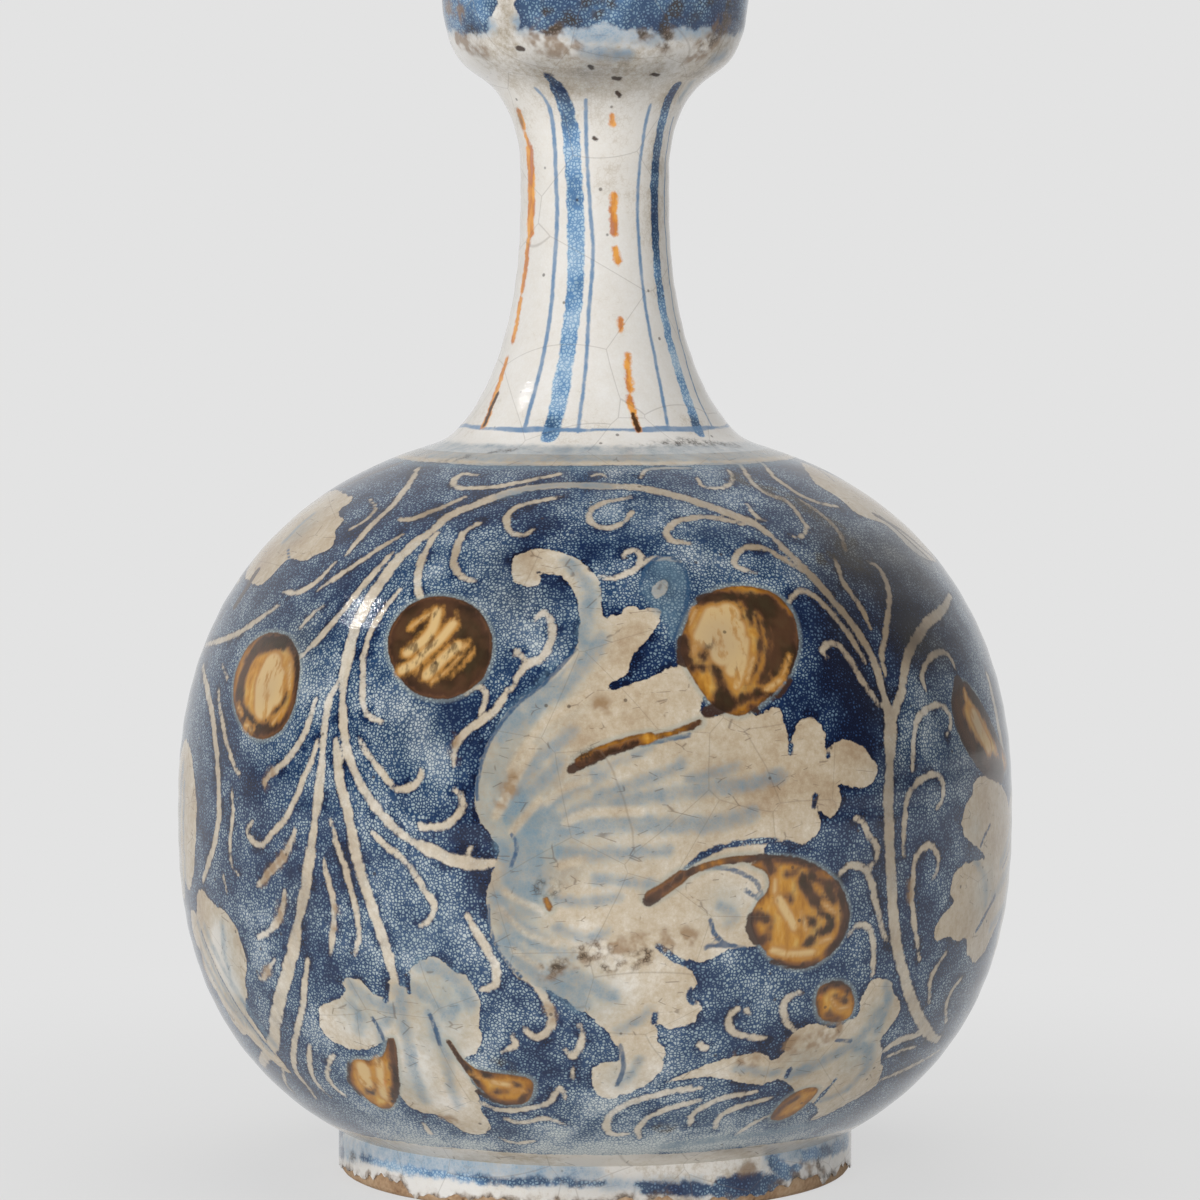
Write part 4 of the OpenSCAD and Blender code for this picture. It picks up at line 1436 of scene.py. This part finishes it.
    def lay_fruit(self) -> None:
        """Lay on streaky gold fields in a grey bleed, rust, brown rims and strokes, and pale gleams."""
        sheet, middle, streaks = self.sheet, self.middle, self.streaks
        field = sheet.layer(Layer.OCHRE)
        inside = field.rise(-0.2, 0.4)
        self.lay(self.FRUIT_BLEED, field.rise(-1.8, -0.3) * 0.45)
        rim = 1.0 - (field + (streaks - 0.5) * 1.6).rise(0.0, 0.9)
        tone = 0.14 + 0.55 * middle + 1.2 * (streaks - 0.5) + 0.35 * field.rise(0.6, 3.0)
        gold = sheet.mix(sheet.ramp(tone, self.GOLDS), self.FRUIT_RIM, rim * 0.65)
        self.lay(gold, self.cover(Layer.OCHRE))
        rust = sheet.mix(*self.RUSTS, streaks.rise(0.3, 0.65))
        self.lay(rust, self.cover(Layer.RUST) * (0.55 + 0.9 * streaks).at_most(0.97))
        brushed = sheet.layer(Layer.UMBER) + ((streaks - 0.5) * 4.0 + (middle - 0.5) * 2.0) * inside
        broken = 0.65 + 0.35 * middle.rise(0.4, 0.6)
        thick = brushed.rise(-0.8, 1.2).at_least(rim) * (0.75 + inside * (broken - 0.75))
        crisp = self.cover(Layer.UMBER)
        share = crisp + (brushed.rise(-1.5, 0.6) - crisp) * inside
        self.lay(sheet.mix(*self.UMBERS, thick), share * 0.95)
        gleam = sheet.mix(*self.GLEAMS, sheet.layer(Layer.GLEAM).rise(0.2, 1.6))
        self.lay(gleam, self.cover(Layer.GLEAM) * (0.3 + 0.7 * streaks.rise(0.34, 0.5)))

    def lay_soil(self) -> None:
        """Lay on stains, smoke, and a dull grey film that is partly painted shade."""
        sheet = self.sheet
        patchy = self.small.rise(0.36, 0.6)
        self.lay(self.STAIN_BROWN, self.cover(Layer.STAIN) * patchy * 0.75)
        smoke = self.cover(Layer.SMOKE) * patchy * (1.0 - 0.6 * self.net.rise(0.06, 0.26))
        self.lay(self.SMOKE_BROWN, smoke * 0.9)
        # The film patches dim and grey the colour: partly real dulling, partly painted shade.
        dimmed = sheet.node("ShaderNodeHueSaturation", {}, {**self.DIMMING, "Color": self.colour}, "Color")
        dull = sheet.mix(sheet.mix(dimmed, self.FILM_AND_SHADE_GREY, 0.5), self.STEM_FILM_AND_SHADE, self.stem * 0.7)
        self.lay(dull, (sheet.layer(Shade.FILM) * (0.45 + 0.55 * self.middle)).at_most(1.0))

    def lay_age(self) -> None:
        """Lay on dark specks, short cracks and a thin craze."""
        sheet, place = self.sheet, self.place
        specks = 1.0 - sheet.cells(place, self.SPECKS).rise(0.04, 0.08)
        self.lay(self.SPECK_BROWN, specks * 0.65)
        drawn = sheet.stretched(place, self.CRACK_STRETCH)
        cracks = 1.0 - sheet.cells(drawn, self.CRACKS, "DISTANCE_TO_EDGE").rise(0.0, 0.03)
        self.lay(self.CRACK_BROWN, cracks * self.small.rise(0.54, 0.6) * self.leaf * self.glaze.cracks)
        craze = 1.0 - sheet.cells(place, self.CRAZE, "DISTANCE_TO_EDGE").rise(0.0, 0.008)
        self.lay(self.CRAZE_BROWN, craze * self.leaf * 0.3)

    def fire(self) -> bpy.types.Material:
        """Give the glaze its gloss and its fine relief.

        Returns:
            The material.
        """
        roughness = 0.06 + 0.1 * self.middle.rise(0.5, 0.75) + 0.03 * self.fine
        height = self.fine * 0.3 + self.broad + self.grain * 0.4
        return self.sheet.finish(self.colour, roughness, height, self.RELIEF, {"IOR": self.IOR})


@dataclass(frozen=True)
class PaintedGlaze:
    """Tin glaze with painting under a clear gloss: beaded blue, reserved leaves, fruit and stains."""

    name: str
    reserve: Stops
    beads: float = 940.0
    depth: float = 0.4
    line: Colour = srgb(44, 76, 108)
    brush: float = 1.0
    mottle: float = 1.0
    cracks: float = 0.5
    wash: float = 1.0
    tint: Colour = srgb(98, 126, 144)
    feather: float = 0.3
    clear: bool = False

    def dress(self) -> bpy.types.Material:
        """Make the material.

        Returns:
            The material, which reads the painting's layers from the mesh.
        """
        work = Brushwork(self)
        work.lay_reserve()
        work.lay_blue()
        work.lay_fruit()
        work.lay_soil()
        work.lay_age()
        return work.fire()


@dataclass(frozen=True)
class PlainCeramic:
    """Bare clay, slip or lining glaze: one mottled colour with its own grit."""

    name: str
    dark: Colour
    mid: Colour
    light: Colour
    roughness: float
    grit: float

    BROAD = 60.0
    FINE = 900.0
    PITS = 260.0
    IOR = 1.5

    def dress(self) -> bpy.types.Material:
        """Make the material.

        Returns:
            The material.
        """
        sheet = NodeSheet(bpy.data.materials.new(self.name))
        place = sheet.place()
        broad = sheet.cloud(place, self.BROAD, 4.0)
        fine = sheet.cloud(place, self.FINE, 3.0)
        colour = sheet.ramp(0.6 * broad + 0.4 * fine, ((0.3, self.dark), (0.5, self.mid), (0.7, self.light)))
        pits = sheet.cells(place, self.PITS).rise(0.05, 0.2)
        colour = sheet.mix(self.dark, colour, pits)
        roughness = self.roughness + 0.15 * (broad - 0.5)
        return sheet.finish(colour, roughness, fine + pits, self.grit, {"IOR": self.IOR})


# The white's darkest stops give the painted shade under the mouth's cup.
WHITE_RESERVE = stops((0.0, 150, 138, 120), (0.2, 194, 182, 164), (0.42, 228, 223, 215),
                      (0.65, 235, 232, 227), (1.0, 238, 235, 231))
CREAM_RESERVE = stops((0.0, 164, 140, 112), (0.35, 186, 168, 142), (0.6, 200, 186, 164),
                      (1.0, 228, 221, 210))


class Finishes:
    """Every material of the bottle, each made once."""

    def __init__(self) -> None:
        """Make the materials."""
        self.body = PaintedGlaze("blue_painted_glaze", CREAM_RESERVE, 1100.0).dress()
        self.white = PaintedGlaze(
            "white_painted_glaze", WHITE_RESERVE, 1000.0, 0.7, srgb(98, 136, 174),
            mottle=0.5, cracks=0.0, clear=True,
        ).dress()
        self.rim = PaintedGlaze(
            "rim_painted_glaze", WHITE_RESERVE, 1060.0, 0.42, brush=2.0, mottle=0.8, cracks=0.2,
            wash=1.3, tint=srgb(124, 156, 182), feather=0.8, clear=True,
        ).dress()
        self.clay = PlainCeramic(
            "bare_earthenware", srgb(128, 94, 66), srgb(184, 152, 120), srgb(210, 186, 156), 0.85, 0.2 * MM,
        ).dress()
        self.slip = PlainCeramic(
            "slip", srgb(140, 106, 74), srgb(176, 140, 102), srgb(194, 162, 126), 0.8, 0.1 * MM,
        ).dress()
        self.lining = PlainCeramic(
            "lining_glaze", srgb(190, 178, 158), srgb(214, 204, 188), srgb(226, 219, 206), 0.3, 0.05 * MM,
        ).dress()


COAT_THICKNESS = 0.46 * MM
# The thrown wall is true at the foot and at the lip.
TRUE_FOOT = 0.03
TRUE_LIP = 0.349
LIP_FADE = 0.012
# Its waves: size in millimetres, lobes round the axis, phase to the metre of height, and start.
WALL_WAVES = ((0.11, 2, 0.0, 0.7), (0.06, 3, -31.0, 2.0), (0.03, 1, 410.0, 0.0))
# Its throwing rings: size in millimetres, phase to the metre of height, and drift round the axis.
THROWING_RINGS = (0.05, 760.0, 1.5)
# The photograph sees the bottle up to this angle on each side.
FRONT_EDGE = math.radians(102)
# Shares of a flat layout: the strip for the hidden side, and the gap at an edge.
FLAT_REST = 0.03
FLAT_GAP = 0.008


def wheel_wobble(turns: np.ndarray, heights: np.ndarray) -> np.ndarray:
    """Find how far the thrown wall strays from true.

    Args:
        turns: Angles round the axis.
        heights: Heights, in metres.

    Returns:
        Outward shift in metres, none at the foot and at the lip.
    """
    size, climb, drift = THROWING_RINGS
    shift = size * np.sin(climb * heights + drift * np.sin(turns))
    for size, lobes, climb, start in WALL_WAVES:
        shift = shift + size * np.sin(lobes * turns + climb * heights + start)
    fade = np.clip(heights / TRUE_FOOT, 0, 1) * np.clip((TRUE_LIP - heights) / LIP_FADE, 0, 1)
    return MM * shift * fade


def columns(radius: float, front: float, back: float) -> np.ndarray:
    """Space a shell's columns, close where the photograph sees it and wider behind.

    Args:
        radius: Radius at which the spacing is meant.
        front: Spacing in front.
        back: Spacing behind.

    Returns:
        Angles round the axis, rising, with 0 at the front.
    """
    edge = FRONT_EDGE
    fore = np.linspace(-edge, edge, int(2 * edge * radius / front), endpoint=False)
    rear = np.linspace(edge, FULL_TURN - edge, int((FULL_TURN - 2 * edge) * radius / back), endpoint=False)
    return np.concatenate([fore, rear])


def lay_flat(mesh: bpy.types.Mesh, radii: np.ndarray, heights: np.ndarray, turns: np.ndarray,
             shown: int) -> None:
    """Lay a turned coat out flat: its shown side in strips that fill the sheet, the rest in a narrow one.

    Args:
        mesh: The turned mesh.
        radii: Radius of each profile point and column.
        heights: Height of each profile point and column.
        turns: Angle of each column.
        shown: Number of profile points on the shown side.
    """
    rows, count = radii.shape
    rest, gap = FLAT_REST, FLAT_GAP
    run = run_length(np.stack([radii.mean(axis=1), heights.mean(axis=1)], axis=1))[:shown]
    strips = max(1, round(math.sqrt(FULL_TURN * radii.max() / run[-1])))
    part = (np.append(turns, turns[0] + FULL_TURN) - turns[0]) / FULL_TURN * strips
    strip = np.minimum(part[:-1].astype(int), strips - 1)
    ends = np.append(part[np.searchsorted(strip, np.arange(strips))], strips)
    sides = np.stack([part[:-1], part[1:]])
    face_u = (sides - ends[strip]) / (ends[strip + 1] - ends[strip])
    levels = gap + (1 - 2 * gap) * run / run[-1]
    behind = np.linspace(gap, 1 - gap, rows - shown + 2)
    right, upper = np.array([0, 1, 1, 0]), np.array([0, 0, 1, 1])
    spread = np.zeros((rows, count, 4, 2))
    spread[:, :, :, 0] = sides[right].T / strips
    spread[: shown - 1, :, :, 0] = face_u[right].T
    spread[:, :, :, 0] = gap + (1 - 2 * gap) * spread[:, :, :, 0]
    face_v = np.stack([levels[:-1], levels[1:]])[upper].T
    spread[: shown - 1, :, :, 1] = (strip[None, :, None] + face_v[:, None, :]) * (1 - rest) / strips
    rest_v = np.stack([behind[:-1], behind[1:]])[upper].T
    spread[shown - 1:, :, :, 1] = 1 - rest + rest * rest_v[:, None, :]
    mesh.uv_layers.new(name=FLAT_LAYOUT).uv.foreach_set("vector", spread.astype(np.float32).ravel())


def turned_mesh(name: str, radii: np.ndarray, heights: np.ndarray, turns: np.ndarray,
                corners: Iterable[int], layers: dict[str, np.ndarray] | None = None,
                shown: int = 0) -> bpy.types.Object:
    """Turn a closed profile about the axis.

    Args:
        name: Name of the piece.
        radii: Radius of each profile point and column.
        heights: Height of each profile point and column.
        turns: Angle of each column.
        corners: Profile points that are sharp edges.
        layers: Values that the vertices carry, by name.
        shown: Number of profile points on the shown side, for a piece that is laid out flat.

    Returns:
        The piece, a closed mesh.
    """
    rows, count = radii.shape
    angle = np.broadcast_to(turns, radii.shape)
    points = np.stack([radii * np.sin(angle), -radii * np.cos(angle), heights], axis=-1).reshape(-1, 3)
    row = np.arange(rows)[:, None]
    column = np.arange(count)[None, :]
    beside, above = (column + 1) % count, (row + 1) % rows
    lower, upper = row * count, above * count
    quads = np.stack([lower + column, lower + beside, upper + beside, upper + column], axis=-1).reshape(-1, 4)
    mesh = bpy.data.meshes.new(name)
    mesh.from_pydata(points.tolist(), [], quads.tolist())
    mesh.update(calc_edges=True)
    mesh.polygons.foreach_set("use_smooth", np.ones(len(mesh.polygons), bool))
    ends = np.zeros(2 * len(mesh.edges), np.int32)
    mesh.edges.foreach_get("vertices", ends)
    edge_rows = ends.reshape(-1, 2) // count
    sharp = (edge_rows[:, 0] == edge_rows[:, 1]) & np.isin(edge_rows[:, 0], list(corners))
    mesh.edges.foreach_set("use_edge_sharp", sharp)
    if shown:
        lay_flat(mesh, radii, heights, turns, shown)
    for key, values in (layers or {}).items():
        attribute = mesh.attributes.new(key, "FLOAT", "POINT")
        attribute.data.foreach_set("value", np.ascontiguousarray(values, np.float32).ravel())
    piece = bpy.data.objects.new(name, mesh)
    bpy.context.scene.collection.objects.link(piece)
    return piece


def settle(piece: bpy.types.Object, finish: bpy.types.Material, node: str, slot: Slot) -> None:
    """Give a piece its finish and its place in the frame.

    Args:
        piece: The piece.
        finish: Its material.
        node: The CAD node that it stands for.
        slot: The record's material slot for it. It is not used.
    """
    piece.data.materials.append(finish)
    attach(piece, "root")
    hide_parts(node)
    log.info("%s: %d faces, for %s", piece.name, len(piece.data.polygons), node)


@dataclass(frozen=True)
class Coat:
    """Coat of painted glaze on one thrown section."""

    name: str
    node: str
    slot: Slot
    row_pitch: float
    front_pitch: float
    back_pitch: float
    radius: float
    over_lip: bool = False
    hidden_pitch: float = 2.5 * MM

    def build(self, outline: Outline, painting: Painting) -> bpy.types.Object:
        """Turn the coat and lay the painting on it.

        Args:
            outline: The bottle's outside.
            painting: The ornament of this coat.

        Returns:
            The piece.
        """
        low, high = (float(outline.along(z)) for z in outline.span_z[self.node])
        if self.over_lip:
            high = outline.s[-1]
        shown = np.linspace(low, high, int((high - low) / self.row_pitch) + 1)
        hidden = np.linspace(high, low, int((high - low) / self.hidden_pitch) + 2)
        along = np.concatenate([shown, hidden])
        depth = np.where(np.arange(len(along)) < len(shown), 0.0, COAT_THICKNESS)[:, None]
        profile = outline.points(along) - depth * outline.normals(along)
        turns = columns(self.radius, self.front_pitch, self.back_pitch)
        heights = np.broadcast_to(profile[:, 1:], (len(along), len(turns)))
        radii = profile[:, :1] + wheel_wobble(turns[None, :], heights)
        painted = painting.paint(Grid(turns, shown, profile[: len(shown), 0]))
        blank = np.full((len(hidden), len(turns)), -painting.REACH / MM)
        layers = {key: np.vstack([values, blank]) for key, values in painted.items()}
        corners = (0, len(shown) - 1, len(shown), len(along) - 1)
        return turned_mesh(self.name, radii, heights, turns, corners, layers, len(shown))

    def dress(self, piece: bpy.types.Object, finish: bpy.types.Material) -> None:
        """Give the coat its finish, for its own node."""
        settle(piece, finish, self.node, self.slot)


@dataclass
class Body:
    """The round body: two painted coats that share one ornament."""

    panel: tuple[float, float] = (math.radians(-53), math.radians(50))
    fans: tuple[tuple[float, float, float], ...] = ((-46.0, -9.0, 37.0), (-53.0, -9.0, -70.0))
    side_turn: float = math.radians(90)
    white_band: tuple[float, float] = (12.5 * MM, 17.6 * MM)
    coats: tuple[Coat, ...] = (
        Coat("lower_coat", "lower_body_glaze", Slot.BLUE, row_pitch=1.0 * MM, front_pitch=0.9 * MM,
             back_pitch=1.2 * MM, radius=0.118, hidden_pitch=14.0 * MM),
        Coat("upper_coat", "upper_body_glaze", Slot.BLUE, row_pitch=1.1 * MM, front_pitch=0.95 * MM,
             back_pitch=1.2 * MM, radius=0.118, hidden_pitch=14.0 * MM),
    )

    def build(self, outline: Outline, view: PhotoView, finishes: Finishes) -> None:
        """Make and dress the body's coats.

        Args:
            outline: The bottle's outside.
            view: The photograph's camera.
            finishes: The materials.
        """
        painting = Painting(outline, view)
        painting.strokes(BODY_STROKES)
        painting.fields(BODY_FIELDS)
        painting.strokes({Layer.SMOKE: NECK_STROKES[Layer.SMOKE]})
        painting.shades(BODY_SHADES)
        copies = [painting.copied(*map(math.radians, fan), True) for fan in self.fans]
        copies.append(painting.copied(*self.panel, math.pi, False))
        for strokes, fields, turn in ((LEFT_STROKES, LEFT_FIELDS, -self.side_turn),
                                      (RIGHT_STROKES, RIGHT_FIELDS, self.side_turn)):
            side = Painting(outline, view)
            side.strokes(strokes)
            side.fields(fields)
            copies.append(side.copied(-math.pi, math.pi, turn, False))
        painting.add(copies)
        painting.bands.append(Band(Layer.LEAF, *self.white_band))
        painting.rings(SHOULDER_RINGS)
        for coat in self.coats:
            coat.dress(coat.build(outline, painting), finishes.body)


@dataclass
class NeckAndMouth:
    """The waisted white neck with blue bands and rust dashes, and the cup-shaped mouth, blue over white."""

    panel: tuple[float, float] = (math.radians(-75), math.radians(75))
    blue_from: float = 320.9 * MM
    lip_bare: float = 1.0 * MM
    ragged: float = 0.9 * MM
    rags: int = 9
    neck: Coat = Coat("neck_coat", "neck_glaze", Slot.WHITE, row_pitch=0.65 * MM, front_pitch=0.45 * MM,
                      back_pitch=0.7 * MM, radius=0.032)
    mouth: Coat = Coat("mouth_coat", "mouth_glaze", Slot.WHITE, row_pitch=0.6 * MM, front_pitch=0.6 * MM,
                       back_pitch=0.9 * MM, radius=0.042, over_lip=True)

    def build(self, outline: Outline, view: PhotoView, finishes: Finishes) -> None:
        """Make and dress the coats of the neck and the mouth.

        Args:
            outline: The bottle's outside.
            view: The photograph's camera.
            finishes: The materials.
        """
        painting = Painting(outline, view)
        for strokes, shades in ((NECK_STROKES, NECK_SHADES), (MOUTH_STROKES, MOUTH_SHADES)):
            painting.strokes(strokes)
            painting.shades(shades)
        painting.add([painting.copied(*self.panel, math.pi, False)])
        painting.whole(Layer.LEAF)
        painting.rings(SHOULDER_RINGS)
        top = outline.span_z[self.mouth.node][1]
        painting.bands.append(Band(Layer.SLIT, self.blue_from, top - self.lip_bare, self.ragged, self.rags))
        for coat, finish in ((self.neck, finishes.white), (self.mouth, finishes.rim)):
            coat.dress(coat.build(outline, painting), finish)


@dataclass
class Foot:
    """The foot ring: bare worn clay under a ragged coat of glaze."""

    column_count: int = 600
    panel: tuple[float, float] = (math.radians(-85), math.radians(85))
    bare: float = 3.2 * MM
    ragged: float = 3.4 * MM
    fringe: float = 1.0 * MM
    lowest: float = 0.6 * MM
    rows: int = 22

    RAGS = ((4.0, 0.8), (14.0, 0.6), (42.0, 0.35))
    FRINGES = ((Layer.STAIN, 0.0), (Layer.SMOKE, 0.8))

    def build(self, outline: Outline, view: PhotoView, finishes: Finishes) -> None:
        """Make and dress the foot's coat.

        Args:
            outline: The bottle's outside.
            view: The photograph's camera.
            finishes: The materials.
        """
        painting = Painting(outline, view)
        painting.strokes(FOOT_STROKES)
        painting.shades(FOOT_SHADES)
        painting.add([painting.copied(*self.panel, math.pi, False)])
        painting.whole(Layer.LEAF)
        turns = np.linspace(-math.pi, math.pi, self.column_count, endpoint=False)
        outer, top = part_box("foot_glaze")[1].x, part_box("foot_glaze")[1].z
        low = np.array([self._edge(turn) for turn in turns])
        shown = low + np.linspace(0, 1, self.rows)[:, None] * (top - low)
        heights = np.vstack([shown, shown[::-1]])
        radii = np.full(heights.shape, outer)
        radii[self.rows:] -= COAT_THICKNESS
        radii += wheel_wobble(turns[None, :], heights)
        level = np.linspace(0.0, top, 2 * self.rows)
        painted = painting.paint(Grid(turns, level, np.full(len(level), outer)))
        layers = {key: self._at_heights(level, values, heights) for key, values in painted.items()}
        fringe = (self.fringe - (heights - low)) / MM
        for layer, least in self.FRINGES:
            layers[layer.value] = np.maximum(layers[layer.value], fringe - least)
        corners = (0, self.rows - 1, self.rows, 2 * self.rows - 1)
        piece = turned_mesh("foot_coat", radii, heights, turns, corners, layers, self.rows)
        settle(piece, finishes.rim, "foot_glaze", Slot.BLUE)

    @staticmethod
    def _at_heights(level: np.ndarray, values: np.ndarray, heights: np.ndarray) -> np.ndarray:
        """Take a layer's values at the heights of a ragged coat's vertices, column by column."""
        return np.stack([np.interp(h, level, v) for h, v in zip(heights.T, values.T)], axis=1)

    def _edge(self, turn: float) -> float:
        """Find where the coat's lower edge runs.

        Args:
            turn: Angle round the axis.

        Returns:
            The edge's height there.
        """
        around = Vector((math.sin(turn), math.cos(turn), 0.0))
        rough = sum(share * noise.noise(around * waves) for waves, share in self.RAGS)
        return max(self.bare + self.ragged * rough, self.lowest)


@dataclass
class FootClay:
    """The bare clay of the foot ring, chipped along its standing edge."""

    column_count: int = 540
    pitch: float = 0.9 * MM
    chip: float = 2.2 * MM
    chip_top: float = 5.0 * MM
    grit: float = 0.12 * MM

    GRIT_WAVES = 700.0
    FLAKES = ((70.0, 1.0), (190.0, 0.5))
    UNCHIPPED = 0.3

    def build(self, finishes: Finishes) -> None:
        """Make and dress the clay ring.

        Args:
            finishes: The materials.
        """
        points = half_plane("foot_ring")
        middle = points.mean(axis=0)
        order = np.argsort(np.arctan2(points[:, 1] - middle[1], points[:, 0] - middle[0]))
        loop = np.vstack([points[order], points[order][:1]])
        run = run_length(loop)
        steps = np.linspace(0, run[-1], int(run[-1] / self.pitch), endpoint=False)
        profile = np.stack([np.interp(steps, run, loop[:, k]) for k in (0, 1)], axis=1)
        turns = np.linspace(-math.pi, math.pi, self.column_count, endpoint=False)
        loss = np.array([[self._loss(r, z, turn) for turn in turns] for r, z in profile])
        inward = (middle - profile) / np.linalg.norm(middle - profile, axis=1, keepdims=True)
        radii = profile[:, :1] + inward[:, :1] * loss
        heights = profile[:, 1:] + np.maximum(inward[:, 1:], 0.0) * loss * (profile[:, 1:] > self.grit)
        piece = turned_mesh("foot_clay", radii, heights, turns, ())
        settle(piece, finishes.clay, "foot_ring", Slot.CLAY)

    def _loss(self, r: float, z: float, turn: float) -> float:
        """Find the depth of clay lost at a place on the ring: grit all over, and chips low down.

        Args:
            r: Radius.
            z: Height.
            turn: Angle round the axis.

        Returns:
            The depth.
        """
        place = Vector((r * math.sin(turn), -r * math.cos(turn), z))
        rough = self.grit * (0.5 + 0.5 * noise.noise(place * self.GRIT_WAVES))
        flake = sum(share * noise.noise(place * waves) for waves, share in self.FLAKES) - self.UNCHIPPED
        return rough + self.chip * max(flake, 0.0) * max(1.0 - z / self.chip_top, 0.0)


@dataclass
class CarriedOver:
    """CAD solids that keep their shape and get a finish."""

    clay: tuple[str, ...] = ("lower_body", "upper_body", "neck", "mouth_cup")
    slip: tuple[str, ...] = ("foot_lute", "belly_lute", "shoulder_lute", "mouth_lute")
    lining: tuple[str, ...] = ("lower_body_lining", "upper_body_lining", "neck_lining", "mouth_lining")

    def dress(self, finishes: Finishes) -> None:
        """Give each solid its material.

        Args:
            finishes: The materials.
        """
        for nodes, finish in ((self.clay, finishes.clay), (self.slip, finishes.slip),
                              (self.lining, finishes.lining)):
            for node in nodes:
                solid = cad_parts[node]
                solid.data.materials.clear()
                solid.data.materials.append(finish)
                log.info("%s: %s", node, finish.name)


@dataclass(frozen=True)
class Lamp:
    """Soft lamp that faces the bottle; one that isn't mirrored only fills."""

    name: str
    place: tuple[float, float, float]
    size: tuple[float, float]
    watts: float
    mirrored: bool = False

    AIM = (0.0, 0.0, 0.17)

    def build(self) -> None:
        """Hang the lamp."""
        light = bpy.data.lights.new(self.name, "AREA")
        light.shape = "RECTANGLE"
        light.size, light.size_y = self.size
        light.energy = self.watts
        hung = bpy.data.objects.new(self.name, light)
        hung.location = self.place
        hung.rotation_euler = (Vector(self.AIM) - Vector(self.place)).to_track_quat("-Z", "Y").to_euler()
        hung.visible_glossy = self.mirrored
        bpy.context.scene.collection.objects.link(hung)


@dataclass
class Studio:
    """Pale floor, pale surround and soft lamps."""

    floor_radius: float = 6.0
    floor_sides: int = 96
    backdrop: Colour = srgb(227, 227, 227)
    floor: Colour = srgb(226, 226, 225)
    glow_near: float = 0.78
    fade: tuple[float, float] = (0.12, 0.42)
    ambient: float = 0.42
    dim_front: float = 0.12
    dim_right: float = 0.7
    behind: tuple[float, float] = (0.0, 0.5)
    right: tuple[float, float] = (0.3, 0.9)
    lamps: tuple[Lamp, ...] = (
        Lamp("key_softbox", (-1.75, 0.03, 1.6), (0.16, 0.075), 2.8, mirrored=True),
        Lamp("front_softbox", (-0.7, -2.1, 0.45), (1.6, 0.8), 32.0),
        Lamp("top_softbox", (0.0, 0.2, 2.2), (1.6, 1.6), 17.0),
    )

    def build(self) -> None:
        """Make the floor, the surround and the lamps."""
        self._floor()
        self._surround()
        for lamp in self.lamps:
            lamp.build()
        bpy.context.scene.view_settings.view_transform = "Standard"

    def _floor(self) -> None:
        """Lay the floor, which keeps the shadow and melts into the surround away from the bottle."""
        mesh = bpy.data.meshes.new("studio_floor")
        turns = np.linspace(0, FULL_TURN, self.floor_sides, endpoint=False)
        ring = [(self.floor_radius * math.cos(t), self.floor_radius * math.sin(t), 0.0) for t in turns]
        mesh.from_pydata(ring, [], [range(len(ring))])
        floor = bpy.data.objects.new("studio_floor", mesh)
        bpy.context.scene.collection.objects.link(floor)
        sheet = NodeSheet(bpy.data.materials.new("studio_floor"))
        away = sheet.node("ShaderNodeVectorMath", {"operation": "LENGTH"}, {0: sheet.place()}, out="Value")
        plain = sheet.node("ShaderNodeBsdfDiffuse", {}, {"Color": self.floor})
        glow = sheet.node("ShaderNodeEmission", {}, {"Color": self.backdrop, "Strength": 1.0})
        share = self.glow_near + (1.0 - self.glow_near) * away.rise(*self.fade)
        seen = self._ray(sheet, "Camera").at_least(self._mirrored(sheet))
        shader = sheet.node("ShaderNodeMixShader", {}, {0: share * seen, 1: plain, 2: glow})
        sheet.node("ShaderNodeOutputMaterial", {}, {"Surface": shader})
        mesh.materials.append(sheet.owner)

    @staticmethod
    def _ray(sheet: NodeSheet, kind: str) -> Value:
        """Whether a ray is of a kind."""
        return sheet.node("ShaderNodeLightPath", out=f"Is {kind} Ray")

    def _mirrored(self, sheet: NodeSheet) -> Value:
        """Whether a ray comes from a mirroring or clear surface."""
        return self._ray(sheet, "Glossy").at_least(self._ray(sheet, "Transmission"))

    def _surround(self) -> None:
        """Surround the bottle with even light: a backdrop behind it, and a dim room before it."""
        world = bpy.data.worlds.new("studio_surround")
        sheet = NodeSheet(world)
        direction = sheet.node("ShaderNodeTexCoord", out="Generated")
        behind = sheet.node("ShaderNodeSeparateXYZ", {}, {0: direction}, out="Y").rise(*self.behind)
        right = sheet.node("ShaderNodeSeparateXYZ", {}, {0: direction}, out="X").rise(*self.right)
        backdrop = behind * (1.0 - self.dim_right * right)
        mirrored = self._mirrored(sheet)
        room = self.ambient + (self.dim_front - self.ambient) * mirrored
        level = (room + (1.0 - self.dim_front) * mirrored * backdrop).at_least(self._ray(sheet, "Camera"))
        shade = sheet.node("ShaderNodeBackground", {}, {"Color": self.backdrop, "Strength": level})
        sheet.node("ShaderNodeOutputWorld", {}, {"Surface": shade})
        bpy.context.scene.world = world


def main() -> None:
    """Build the bottle and its studio in order."""
    logging.basicConfig(level=logging.INFO, format="%(name)s %(message)s")
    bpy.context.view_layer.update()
    view = PhotoView()
    view.build()
    outline = Outline()
    finishes = Finishes()
    for section in (Body(), NeckAndMouth(), Foot()):
        section.build(outline, view, finishes)
    FootClay().build(finishes)
    CarriedOver().dress(finishes)
    Studio().build()


if __name__ == "__main__":
    main()
